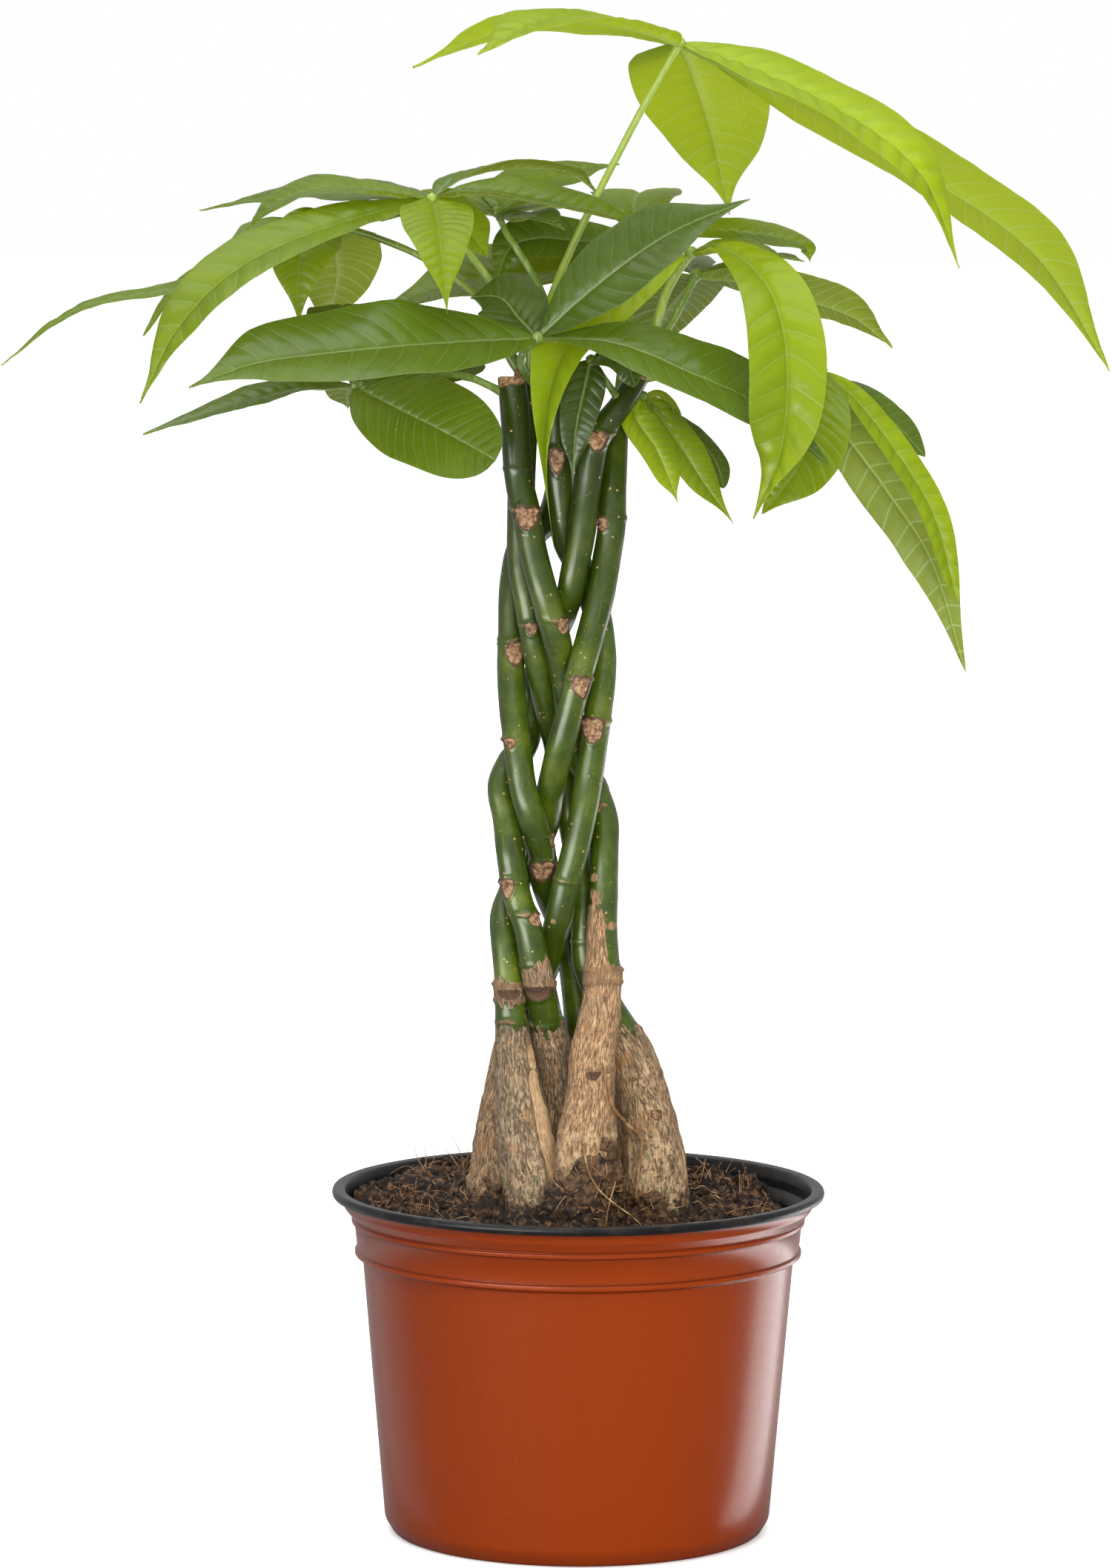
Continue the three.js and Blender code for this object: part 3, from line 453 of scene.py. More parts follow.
def tube(points, stations, sides):
    """Circles carried along a curve: centre + r (cos a A + sin a B), with A, B across the curve.

    The points hold x, y, z and r. Gives the grid, the outward directions and the distance along.
    """
    t = np.linspace(0, 1, stations)
    values, heading = along(points, t)
    across = unit(np.cross(heading, [0.1, -1, 0.2]))
    up = np.cross(heading, across)
    turn = circle(sides)
    outward = np.cos(turn)[None, :, None] * across[:, None] + np.sin(turn)[None, :, None] * up[:, None]
    grid = values[:, None, :3] + values[:, None, 3:] * outward
    return grid, outward, run_length(values[:, :3])


# Meshes


def add_object(name, data):
    """An object of that data, placed in the scene."""
    made = bpy.data.objects.new(name, data)
    bpy.context.scene.collection.objects.link(made)
    return made


class Skin:
    """Point grids gathered into one mesh, with a material slot and named values for each grid."""

    def __init__(self):
        self.points = []
        self.faces = {4: [], 3: []}
        self.slots = {4: [], 3: []}
        self.values = []
        self.total = 0

    def add_points(self, points, values):
        """Keeps points of shape (n, 3) and their values, and gives the index of the first."""
        first = self.total
        self.points.append(points)
        self.values.append({key: np.broadcast_to(v, len(points)) for key, v in values.items()})
        self.total += len(points)
        return first

    def add_tube(self, grid, slot=0, **values):
        """An n by m grid whose columns close on themselves, with a fan over each end.

        Faces look outwards where the columns run right-handed round the direction of the rows.
        """
        rows, columns = grid.shape[:2]
        flat = {k: np.broadcast_to(v, (rows, columns)).ravel() for k, v in values.items()}
        first = self.add_points(grid.reshape(-1, 3), flat)
        index = first + np.arange(rows * columns).reshape(rows, columns)
        right = np.roll(index, -1, axis=1)
        quads = np.stack([index[:-1], right[:-1], right[1:], index[1:]], axis=-1)
        self.faces[4].append(quads.reshape(-1, 4))
        self.slots[4].append(np.broadcast_to(slot, quads.shape[:2]).ravel())
        for row, order in ((0, (0, 2, 1)), (rows - 1, (0, 1, 2))):
            ends = {k: v.reshape(rows, columns)[row].mean() for k, v in flat.items()}
            middle = self.add_points(grid[row].mean(axis=0)[None], ends)
            fan = np.stack([np.full(columns, middle), index[row], right[row]], axis=-1)
            self.faces[3].append(fan[:, order])
            near = np.broadcast_to(slot, quads.shape[:2])[0 if row == 0 else -1]
            self.slots[3].append(near)

    def add_solid(self, points, triangles, slot=0, **values):
        """A ready-made closed solid, as points and triangles."""
        first = self.add_points(points, values)
        self.faces[3].append(first + triangles)
        self.slots[3].append(np.full(len(triangles), slot))

    def build(self, name, materials, replaced):
        """Makes the object, rides it on the body and hides the imported parts that it replaces."""
        quads = np.vstack(self.faces[4]) if self.faces[4] else np.zeros((0, 4), int)
        triangles = np.vstack(self.faces[3])
        corners = np.concatenate([quads.ravel(), triangles.ravel()]).astype(np.int32)
        starts = np.concatenate(
            [4 * np.arange(len(quads)), 4 * len(quads) + 3 * np.arange(len(triangles))]
        )
        slots = np.concatenate([*self.slots[4], *self.slots[3]]).astype(np.int32)
        mesh = bpy.data.meshes.new(name)
        points = np.vstack(self.points)
        mesh.vertices.add(len(points))
        mesh.vertices.foreach_set("co", points.astype(np.float32).ravel())
        mesh.loops.add(len(corners))
        mesh.loops.foreach_set("vertex_index", corners)
        mesh.polygons.add(len(starts))
        mesh.polygons.foreach_set("loop_start", starts.astype(np.int32))
        mesh.polygons.foreach_set("material_index", slots)
        mesh.polygons.foreach_set("use_smooth", np.ones(len(starts), bool))
        mesh.update(calc_edges=True)
        for key in sorted({key for values in self.values for key in values}):
            parts = [
                values.get(key, np.zeros(len(points)))
                for values, points in zip(self.values, self.points)
            ]
            layer = mesh.attributes.new(key, "FLOAT", "POINT")
            layer.data.foreach_set("value", np.concatenate(parts).astype(np.float32))
        for material in materials:
            mesh.materials.append(material)
        piece = add_object(name, mesh)
        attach(piece, "root")
        for node in replaced:
            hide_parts(node)
        return piece


# Shader helpers


class Shader:
    """Short ways to lay and join nodes in one material or node group."""

    def __init__(self, tree):
        self.tree = tree

    def node(self, kind, **settings):
        """A node of that kind. Settings name its properties."""
        made = self.tree.nodes.new(kind)
        for key, value in settings.items():
            setattr(made, key, value)
        return made

    def feed(self, made, **inputs):
        """Sets or joins inputs. A name's underscores stand for spaces, and _0 for input 0."""
        for key, value in inputs.items():
            socket = made.inputs[int(key[1:]) if key[1:].isdigit() else key.replace("_", " ")]
            if isinstance(value, bpy.types.NodeSocket):
                self.tree.links.new(value, socket)
            elif socket.type == "RGBA":
                socket.default_value = (*value[:3], 1)
            else:
                socket.default_value = value
        return made

    def math(self, operation, a, b=0.0, clamp=False):
        """One arithmetic step."""
        made = self.node("ShaderNodeMath", operation=operation, use_clamp=clamp)
        return self.feed(made, _0=a, _1=b).outputs[0]

    def times(self, a, b):
        """a times b."""
        return self.math("MULTIPLY", a, b)

    def plus(self, a, b, clamp=False):
        """a plus b, held between 0 and 1 if it is clamped."""
        return self.math("ADD", a, b, clamp)

    def minus(self, a, b):
        """a minus b."""
        return self.math("SUBTRACT", a, b)

    def rise(self, value, low, high, start=0.0, end=1.0):
        """A smooth step from start to end as value goes from low to high."""
        made = self.node("ShaderNodeMapRange", interpolation_type="SMOOTHSTEP")
        self.feed(made, Value=value, From_Min=low, From_Max=high, To_Min=start, To_Max=end)
        return made.outputs["Result"]

    def blend(self, factor, a, b, way="MIX"):
        """A mix of two colours."""
        made = self.node("ShaderNodeMix", data_type="RGBA", blend_type=way)
        for number, value in ((0, factor), (6, a), (7, b)):
            if isinstance(value, bpy.types.NodeSocket):
                self.tree.links.new(value, made.inputs[number])
            elif number == 0:
                made.inputs[number].default_value = value
            else:
                made.inputs[number].default_value = (*value[:3], 1)
        return made.outputs[2]

    def ramp(self, value, *stops):
        """A colour ramp through (position, colour) stops."""
        made = self.node("ShaderNodeValToRGB")
        elements = made.color_ramp.elements
        while len(elements) < len(stops):
            elements.new(0.5)
        for element, (position, colour) in zip(elements, stops):
            element.position = position
            element.color = (*colour, 1)
        return self.feed(made, Fac=value).outputs["Color"]

    def attribute(self, name):
        """A named value of the mesh."""
        return self.node("ShaderNodeAttribute", attribute_name=name).outputs["Fac"]

    def place(self, scale=(1, 1, 1)):
        """Object coordinates, stretched."""
        where = self.node("ShaderNodeTexCoord").outputs["Object"]
        made = self.node("ShaderNodeMapping")
        return self.feed(made, Vector=where, Scale=scale).outputs["Vector"]

    def height(self, vector):
        """A vector's Z."""
        return self.feed(self.node("ShaderNodeSeparateXYZ"), Vector=vector).outputs["Z"]

    def noise(self, vector, scale, detail=3.0, rough=0.55):
        """Blender's noise as a number about 0.5."""
        made = self.node("ShaderNodeTexNoise")
        self.feed(made, Vector=vector, Scale=scale, Detail=detail, Roughness=rough)
        return made.outputs["Fac"]

    def cells(self, vector, scale, feature="F1"):
        """Distance in a pattern of random cells."""
        made = self.node("ShaderNodeTexVoronoi", feature=feature)
        return self.feed(made, Vector=vector, Scale=scale).outputs["Distance"]

    def bump(self, height, distance, strength):
        """A bump from a height that counts in distances, in metres."""
        made = self.node("ShaderNodeBump")
        return self.feed(made, Height=height, Distance=distance, Strength=strength).outputs["Normal"]


def new_material(name):
    """An empty material with its node helper and its output."""
    material = bpy.data.materials.new(name)
    material.use_nodes = True
    material.node_tree.nodes.clear()
    shader = Shader(material.node_tree)
    return material, shader, shader.node("ShaderNodeOutputMaterial")


def surface(shader, output, colour, roughness, normal=None, **constants):
    """Joins a Principled shader to the output. Constants go straight on its own sockets."""
    made = shader.node("ShaderNodeBsdfPrincipled")
    shader.feed(made, Base_Color=colour, Roughness=roughness)
    for key, value in constants.items():
        made.inputs[key.replace("_", " ")].default_value = value
    if normal is not None:
        shader.feed(made, Normal=normal)
    shader.tree.links.new(made.outputs[0], output.inputs["Surface"])
    return made


# Node groups


def new_group(name, inputs, outputs):
    """An empty node group with number sockets, its node helper, its given values and its result."""
    group = bpy.data.node_groups.new(name, "ShaderNodeTree")
    for way, keys in (("INPUT", inputs), ("OUTPUT", outputs)):
        for key in keys:
            group.interface.new_socket(name=key, in_out=way, socket_type="NodeSocketFloat")
    shader = Shader(group)
    given = shader.node("NodeGroupInput").outputs
    return group, shader, given, shader.node("NodeGroupOutput")


def vein_group():
    """Masks of a leaflet's veins from its own measures, built once.

    Side veins leave the midrib every Spacing metres and lean forwards, so that they lie where
    (Along - 0.42 |Across| - 14 Across^2 + 0.0008 sin(260 Along)) / Spacing is whole. The midrib
    reaches Rib metres to either side.
    """
    if "Leaf veins" in bpy.data.node_groups:
        return bpy.data.node_groups["Leaf veins"]
    inputs = ("Across", "Along", "Spacing", "Rib")
    outputs = ("Side veins", "Midrib", "Net", "Pillow")
    group, shader, given, result = new_group("Leaf veins", inputs, outputs)
    across = shader.math("ABSOLUTE", given["Across"])
    lean = shader.times(across, 0.42)
    bend = shader.times(shader.times(across, across), 14.0)
    start = shader.minus(given["Along"], shader.plus(lean, bend))
    drift = shader.math("SINE", shader.times(given["Along"], 260.0))
    start = shader.plus(start, shader.times(drift, 0.0008))
    phase = shader.math("FRACT", shader.math("DIVIDE", start, given["Spacing"]))
    gap = shader.math("MINIMUM", phase, shader.minus(1.0, phase))
    distance = shader.times(gap, given["Spacing"])
    side = shader.rise(distance, 0.0001, 0.00055, 1.0, 0.0)
    middle = shader.math("DIVIDE", across, given["Rib"])
    midrib = shader.rise(middle, 0.35, 1.0, 1.0, 0.0)
    where = shader.node("ShaderNodeCombineXYZ")
    shader.feed(where, X=given["Across"], Y=given["Along"])
    net = shader.cells(where.outputs[0], 620.0, "DISTANCE_TO_EDGE")
    shader.feed(
        result,
        Side_veins=side,
        Midrib=midrib,
        Net=shader.rise(net, 0.02, 0.14, 1.0, 0.0),
        Pillow=shader.math("SINE", shader.times(gap, math.pi)),
    )
    return group


def leaf_veins(shader):
    """The vein group, fed from the mesh's values."""
    made = shader.node("ShaderNodeGroup", node_tree=vein_group())
    shader.feed(
        made,
        Across=shader.attribute("across"),
        Along=shader.attribute("along"),
        Spacing=shader.attribute("spacing"),
        Rib=shader.attribute("rib"),
    )
    return made.outputs


def peat_dust_group():
    """A mask of peat stuck low on what stands in the pot: noise that thins out from Low to High."""
    if "Peat dust" in bpy.data.node_groups:
        return bpy.data.node_groups["Peat dust"]
    group, shader, given, result = new_group("Peat dust", ("Low", "High"), ("Dust",))
    where = shader.place()
    reach = shader.node("ShaderNodeMapRange")
    shader.feed(reach, Value=shader.height(where), From_Min=given["Low"], From_Max=given["High"])
    shader.feed(reach, To_Min=0.85, To_Max=0.05)
    crumbs = shader.noise(where, 420.0, 4.0, 0.65)
    dust = shader.rise(shader.minus(reach.outputs[0], crumbs), -0.06, 0.1)
    shader.feed(result, Dust=dust)
    return group


# Materials

# Heights in metres between which the dust of peat on the stems thins out

DUST_HEIGHTS = (0.106, 0.132)


def leaf_colours(settings):
    """Colour stops of a leaf from old to young, from the settings."""
    old, green, young = (tuple(c[:3]) for c in (settings.old, settings.green, settings.young))
    half = tuple(0.55 * a + 0.45 * b for a, b in zip(green, young))
    return ((0.0, old), (0.35, green), (0.65, half), (1.0, young))


def leaf_upper(settings):
    """Glossy upper skin: its green by age, a pale midrib, faint side veins in hollows and painted
    shade that darkens those hollows.
    """
    material, shader, output = new_material("leaf_upper")
    veins = leaf_veins(shader)
    cloud = shader.noise(shader.place(), 45.0, 4.0)
    shift = shader.times(shader.minus(cloud, 0.5), 0.3)
    # Painted shade: the tone drops in the hollows along the side veins and rises on the bulges between
    # them.
    pillow = shader.times(shader.minus(veins["Pillow"], 0.6), 0.05)
    tone = shader.plus(shader.attribute("tone"), shader.plus(shift, pillow), True)
    skin = shader.ramp(tone, *leaf_colours(settings))
    pale = shader.blend(0.42, skin, settings.vein)
    net = shader.times(veins["Net"], 0.08)
    skin = shader.blend(net, skin, pale)
    clear = shader.rise(shader.attribute("tone"), 0.0, 0.8, 0.12, 0.5)
    skin = shader.blend(shader.times(veins["Side veins"], clear), skin, pale)
    skin = shader.blend(shader.times(veins["Midrib"], 0.8), skin, pale)
    margin = shader.rise(shader.attribute("edge"), 0.965, 1.0, 0.0, 0.5)
    skin = shader.blend(margin, skin, pale)
    specks = shader.rise(shader.cells(shader.place(), 130.0), 0.03, 0.07, 0.4, 0.0)
    skin = shader.blend(specks, skin, pale)
    rough = shader.rise(cloud, 0.3, 0.7, settings.gloss - 0.05, settings.gloss + 0.1)
    normal = shader.bump(shader.minus(1.0, veins["Side veins"]), 0.0002, 0.4)
    front = surface(shader, output, skin, rough, normal, Specular_IOR_Level=0.5)
    let_light_through(shader, output, front, skin, settings.clear)
    return material


def leaf_under(settings):
    """Matt, paler underside with raised veins."""
    material, shader, output = new_material("leaf_under")
    veins = leaf_veins(shader)
    cloud = shader.noise(shader.place(), 60.0, 3.0)
    shift = shader.times(shader.minus(cloud, 0.5), 0.2)
    tone = shader.plus(shader.attribute("tone"), shift, True)
    skin = shader.blend(0.35, shader.ramp(tone, *leaf_colours(settings)), settings.under)
    pale = shader.blend(0.6, skin, settings.vein)
    skin = shader.blend(shader.times(veins["Net"], 0.15), skin, pale)
    skin = shader.blend(shader.times(veins["Side veins"], 0.85), skin, settings.vein)
    skin = shader.blend(shader.times(veins["Midrib"], 0.85), skin, settings.vein)
    front = surface(shader, output, skin, 0.5, Specular_IOR_Level=0.35)
    let_light_through(shader, output, front, skin, settings.clear)
    return material


def let_light_through(shader, output, front, colour, clear):
    """Mixes the leaf's front shader with one that lets light through it, most in young leaves."""
    share = shader.rise(shader.attribute("tone"), 0.15, 0.7, clear * 0.5, clear)
    glow = shader.node("ShaderNodeBsdfTranslucent")
    shader.feed(glow, Color=shader.blend(0.6, colour, (0.96, 1.0, 0.10)))
    mixed = shader.node("ShaderNodeMixShader")
    shader.feed(mixed, _0=share, _1=front.outputs[0], _2=glow.outputs[0])
    shader.tree.links.new(mixed.outputs[0], output.inputs["Surface"])


def leaf_stalk(settings):
    """Smooth light green stalk with paler lengthwise streaks."""
    material, shader, output = new_material("leaf_stalk")
    streaks = shader.noise(shader.place((1, 1, 0.2)), 700.0, 3.0)
    cloud = shader.noise(shader.place(), 70.0, 3.0)
    tone = shader.plus(shader.attribute("tone"), shader.minus(cloud, 0.5), True)
    skin = shader.ramp(tone, (0.0, (0.08, 0.14, 0.015)), (0.4, (0.17, 0.26, 0.03)),
                       (0.75, (0.36, 0.47, 0.06)))
    skin = shader.blend(shader.rise(streaks, 0.45, 0.7, 0.0, 0.4), skin, settings.vein)
    normal = shader.bump(streaks, 0.00008, 0.5)
    surface(shader, output, skin, 0.42, normal)
    return material


def green_skin(shader, settings, grain, place):
    """Colour of the green skin: patches, lengthwise streaks and pale pores, with painted shade that
    darkens it high up, under the leaves.
    """
    streaks = shader.noise(grain, 520.0, 5.0, 0.6)
    patches = shader.noise(place, 60.0, 4.0, 0.6)
    greens = (settings.green_dark, settings.green, settings.green_light)
    green = shader.ramp(patches, *zip((0.3, 0.52, 0.75), greens))
    green = shader.blend(shader.rise(streaks, 0.52, 0.72, 0.0, 0.4), green, settings.green_light)
    # Painted shade: the green darkens from 0.30 m to 0.37 m up, where the leaves shade the stems.
    shade = shader.rise(shader.height(place), 0.30, 0.37, 0.0, 0.6)
    green = shader.blend(shade, green, tuple(0.5 * c for c in settings.green_dark))
    pores = shader.rise(shader.cells(place, 300.0), 0.09, 0.15, 1.0, 0.0)
    some = shader.rise(shader.noise(place, 130.0, 2.0), 0.47, 0.53)
    green = shader.blend(shader.times(pores, some), green, settings.pore)
    small = shader.rise(shader.cells(place, 620.0), 0.07, 0.13, 0.7, 0.0)
    few = shader.rise(shader.noise(place, 210.0, 2.0), 0.52, 0.56)
    return shader.blend(shader.times(small, few), green, settings.pore)


def cork_skin(shader, settings, place, fibres, fissures):
    """Colour of the cork: fissures, cross wrinkles, blotches, orange flecks, flakes, moss, peels."""
    corks = (settings.cork_dark, settings.cork, settings.cork_light)
    cork = shader.ramp(fibres, *zip((0.34, 0.5, 0.66), corks))
    tint = shader.blend(shader.attribute("warmth"), (0.84, 0.93, 1.0), (1.25, 1.12, 0.98))
    cork = shader.blend(1.0, cork, tint, "MULTIPLY")
    strength = shader.rise(shader.attribute("warmth"), 0.5, 1.0, 0.85, 0.45)
    cork = shader.blend(shader.times(fissures, strength), cork, (0.06, 0.038, 0.022))
    wrinkle = shader.noise(shader.place((0.22, 0.22, 1.5)), 420.0, 4.0, 0.6)
    cork = shader.blend(shader.rise(wrinkle, 0.33, 0.41, 0.35, 0.0), cork, (0.13, 0.08, 0.042))
    blotch = shader.noise(shader.place((1, 1, 0.55)), 95.0, 6.0, 0.68)
    cork = shader.blend(shader.rise(blotch, 0.34, 0.48, 0.6, 0.0), cork, (0.13, 0.098, 0.055))
    cork = shader.blend(shader.rise(blotch, 0.55, 0.66, 0.0, 0.55), cork, (0.52, 0.36, 0.20))
    warm = shader.rise(shader.noise(place, 130.0, 4.0, 0.6), 0.56, 0.66, 0.0, 0.5)
    cork = shader.blend(warm, cork, (0.46, 0.23, 0.09))
    flecks = shader.rise(shader.cells(shader.place((0.6, 0.6, 1.3)), 210.0), 0.1, 0.22, 0.75, 0.0)
    few = shader.rise(shader.noise(place, 110.0, 3.0), 0.5, 0.56)
    cork = shader.blend(shader.times(flecks, few), cork, (0.56, 0.27, 0.10))
    low = shader.rise(shader.attribute("flaky"), -0.3, 0.8)
    flakes = shader.rise(shader.noise(place, 300.0, 5.0, 0.7), 0.5, 0.56, 0.0, 0.8)
    cork = shader.blend(shader.times(low, flakes), cork, (0.70, 0.48, 0.27))
    moss = shader.rise(shader.noise(place, 210.0, 4.0, 0.6), 0.54, 0.62, 0.0, 0.35)
    cork = shader.blend(shader.times(low, moss), cork, (0.22, 0.24, 0.10))
    peeled = shader.blend(shader.rise(fibres, 0.35, 0.6), (0.62, 0.37, 0.18), (0.78, 0.54, 0.30))
    ragged = shader.times(shader.minus(blotch, 0.5), 0.9)
    edge = shader.plus(shader.attribute("peel"), ragged)
    cork = shader.blend(shader.rise(edge, -0.35, -0.1, 0.0, 0.7), cork, (0.11, 0.06, 0.03))
    return shader.blend(shader.rise(edge, -0.08, 0.04), cork, peeled)


def stem_bark(settings):
    """Green skin with pores and streaks, turning ragged into grey-tan cork at the swollen foot."""
    material, shader, output = new_material("stem_bark")
    grain = shader.node("ShaderNodeAttribute", attribute_name="grain").outputs["Vector"]
    place = shader.place()
    green = green_skin(shader, settings, grain, place)
    swirl = shader.node("ShaderNodeVectorMath", operation="MULTIPLY_ADD")
    wander = shader.node("ShaderNodeTexNoise")
    shader.feed(wander, Vector=grain, Scale=240.0, Detail=2.0)
    shader.feed(swirl, _0=wander.outputs["Color"], _1=(0.0022, 0.0022, 0.0022), _2=grain)
    bent = swirl.outputs["Vector"]
    fibres = shader.noise(bent, 1500.0, 6.0, 0.64)
    crease = shader.math("ABSOLUTE", shader.minus(shader.noise(bent, 1150.0, 3.0), 0.5))
    some = shader.rise(shader.noise(bent, 380.0, 3.0), 0.38, 0.5)
    fissures = shader.times(shader.rise(crease, 0.005, 0.042, 1.0, 0.0), some)
    cork = cork_skin(shader, settings, place, fibres, fissures)
    teeth = shader.noise(grain, 190.0, 6.0, 0.65)
    lobes = shader.noise(place, 210.0, 6.0, 0.62)
    edge = shader.times(shader.minus(shader.plus(teeth, lobes), 1.0), 0.65)
    bark = shader.plus(shader.attribute("bark"), shader.times(edge, 3.0))
    corky = shader.rise(bark, -0.04, 0.06)
    skin = shader.blend(corky, green, cork)
    ring = shader.plus(shader.attribute("ring"), shader.times(edge, 1.2))
    skin = shader.blend(shader.rise(ring, 0.28, 0.6, 0.0, 0.75), skin, (0.30, 0.17, 0.08))
    wound = shader.noise(place, 620.0, 5.0, 0.7)
    heal = shader.ramp(wound, (0.38, (0.12, 0.055, 0.025)), (0.5, tuple(settings.scar)),
                       (0.62, (0.56, 0.38, 0.21)))
    ragged = shader.times(shader.minus(wound, 0.5), 0.35)
    scar = shader.plus(shader.attribute("scar"), ragged)
    skin = shader.blend(shader.rise(scar, -0.14, -0.02, 0.0, 0.9), skin, (0.085, 0.035, 0.016))
    heal = shader.blend(shader.attribute("moon"), heal, (0.11, 0.052, 0.026))
    skin = shader.blend(shader.rise(scar, 0.06, 0.16), skin, heal)
    dust = shader.node("ShaderNodeGroup", node_tree=peat_dust_group())
    shader.feed(dust, Low=DUST_HEIGHTS[0], High=DUST_HEIGHTS[1])
    skin = shader.blend(dust.outputs["Dust"], skin, settings.peat)
    rough = shader.blend(corky, (0.32,) * 3, (0.95,) * 3)
    rough = shader.blend(shader.rise(scar, -0.1, 0.1), rough, (0.8,) * 3)
    cracks = shader.rise(fibres, 0.36, 0.5)
    gaps = shader.minus(1.0, fissures)
    deep = shader.times(shader.plus(cracks, gaps), corky)
    relief = shader.plus(deep, shader.times(shader.noise(grain, 520.0, 5.0), 0.15))
    relief = shader.plus(relief, shader.times(dust.outputs["Dust"], 0.8))
    relief = shader.plus(relief, shader.times(wound, shader.rise(scar, -0.1, 0.1)))
    normal = shader.bump(relief, 0.0004, 0.7)
    surface(shader, output, skin, rough, normal)
    return material


def root_skin():
    """Dull brown skin of the thin roots and fibres."""
    material, shader, output = new_material("root_skin")
    cloud = shader.noise(shader.place(), 260.0, 4.0)
    skin = shader.ramp(cloud, (0.3, (0.13, 0.055, 0.02)), (0.5, (0.34, 0.18, 0.07)),
                       (0.66, (0.58, 0.40, 0.20)))
    surface(shader, output, skin, 0.8, shader.bump(cloud, 0.0002, 0.8))
    return material


def pot_outside(settings):
    """Satin terracotta-coloured plastic with a fine orange-peel grain and thin dark lines of painted
    shade in the creases beside its beads.
    """
    material, shader, output = new_material("pot_outside")
    place = shader.place()
    cloud = shader.noise(shader.place((1, 1, 0.3)), 18.0, 3.0)
    darker = tuple(0.94 * c for c in settings.outside[:3])
    skin = shader.ramp(cloud, (0.3, darker), (0.7, tuple(settings.outside[:3])))
    height = shader.height(place)
    # Painted shade: a thin dark line at each of these heights, in the creases beside the beads.
    for shade_line in POT_SHADE_LINES:
        away = shader.math("ABSOLUTE", shader.minus(height, shade_line * MM))
        skin = shader.blend(shader.rise(away, 0.0002, 0.0006, 0.5, 0.0), skin, (0.06, 0.012, 0.003))
    peel = shader.noise(place, 1100.0, 2.0)
    rough = shader.rise(shader.noise(place, 300.0, 2.0), 0.3, 0.7, 0.24, 0.28)
    normal = shader.bump(peel, 0.00002, 0.3)
    surface(shader, output, skin, rough, normal, Specular_IOR_Level=0.22)
    return material


def pot_inside(settings):
    """Black plastic of the rim and the inside, greyed by dust and splashed with peat."""
    material, shader, output = new_material("pot_inside")
    place = shader.place()
    dust = shader.rise(shader.noise(place, 110.0, 6.0, 0.65), 0.45, 0.75, 0.0, 0.35)
    skin = shader.blend(dust, settings.inside, (0.07, 0.06, 0.05))
    crumbs = shader.rise(shader.cells(place, 420.0), 0.08, 0.16, 1.0, 0.0)
    rare = shader.rise(shader.noise(place, 70.0, 2.0), 0.53, 0.6)
    skin = shader.blend(shader.times(crumbs, rare), skin, (0.07, 0.04, 0.022))
    rough = shader.rise(dust, 0.0, 0.5, 0.33, 0.6)
    normal = shader.bump(shader.noise(place, 900.0, 2.0), 0.00005, 0.4)
    surface(shader, output, skin, rough, normal, Specular_IOR_Level=0.22)
    return material


def peat(settings):
    """Dark crumbly peat: brown on its crumbs, with light fibres, and painted near-black shade in its
    hollows.
    """
    material, shader, output = new_material("peat")
    place = shader.place()
    crumb = shader.noise(place, 330.0, 8.0, 0.7)
    patch = shader.noise(place, 60.0, 4.0)
    # Painted shade: the crumb noise is also the bump's height, so the ramp's near-black low end
    # darkens the hollows.
    skin = shader.ramp(crumb, (0.44, (0.004, 0.0025, 0.002)), (0.52, tuple(settings.dark[:3])),
                       (0.61, tuple(settings.light[:3])))
    skin = shader.blend(shader.rise(patch, 0.45, 0.7, 0.0, 0.3), skin, (0.14, 0.072, 0.033))
    dry = shader.times(shader.attribute("dry"), shader.rise(crumb, 0.36, 0.56))
    skin = shader.blend(dry, skin, (0.23, 0.13, 0.062))
    strands = shader.cells(shader.place((1.0, 0.16, 1.0)), 260.0)
    chaff = shader.rise(strands, 0.03, 0.08, 0.8, 0.0)
    skin = shader.blend(chaff, skin, (0.30, 0.19, 0.10))
    height = shader.plus(crumb, shader.times(shader.noise(place, 1300.0, 3.0), 0.3))
    surface(shader, output, skin, 0.95, shader.bump(height, 0.002, 1.0))
    return material


# The pot

# Steps of each rounding arc, and heights in millimetres of the thin painted shade lines in the creases
# beside the pot's beads

ARC_STEPS = 4
POT_SHADE_LINES = (96.15, 98.9, 107.8, 110.0)


def rounded(corners):
    """An outline of straight runs joined by arcs: each corner is (r, z, radius), in millimetres.

    An arc of that radius touches both runs beside its corner, at corner + radius / tan(half angle)
    along each, and is drawn by turning from one touching point to the other about its centre. A
    corner that has no radius or is nearly straight stays as it is.
    """
    given = np.array([corner[:2] for corner in corners], float)
    drawn = [given[0]]
    for i in range(1, len(given) - 1):
        back, ahead = unit(given[i - 1] - given[i]), unit(given[i + 1] - given[i])
        radius = corners[i][2]
        half = math.acos(np.clip(back @ ahead, -1, 1)) / 2
        if radius == 0 or half > 1.54:
            drawn.append(given[i])
            continue
        centre = given[i] + unit(back + ahead) * radius / math.sin(half)
        first = given[i] + back * radius / math.tan(half) - centre
        last = given[i] + ahead * radius / math.tan(half) - centre
        for k in np.linspace(0, 1, ARC_STEPS + 1):
            swing = unit(first * (1 - k) + last * k)
            drawn.append(centre + swing * radius)
    drawn.append(given[-1])
    return np.array(drawn)


def revolve(outline, turns):
    """The outline (r, z) carried round the Z axis: r cos a, r sin a, z."""
    angle = circle(turns)
    r, z = outline[:, 0], outline[:, 1]
    return np.stack(
        [r[:, None] * np.cos(angle), r[:, None] * np.sin(angle), np.repeat(z[:, None], turns, 1)],
        axis=-1,
    )


# Corners of the pot's outlines, as r, z and the radius that rounds each, in millimetres

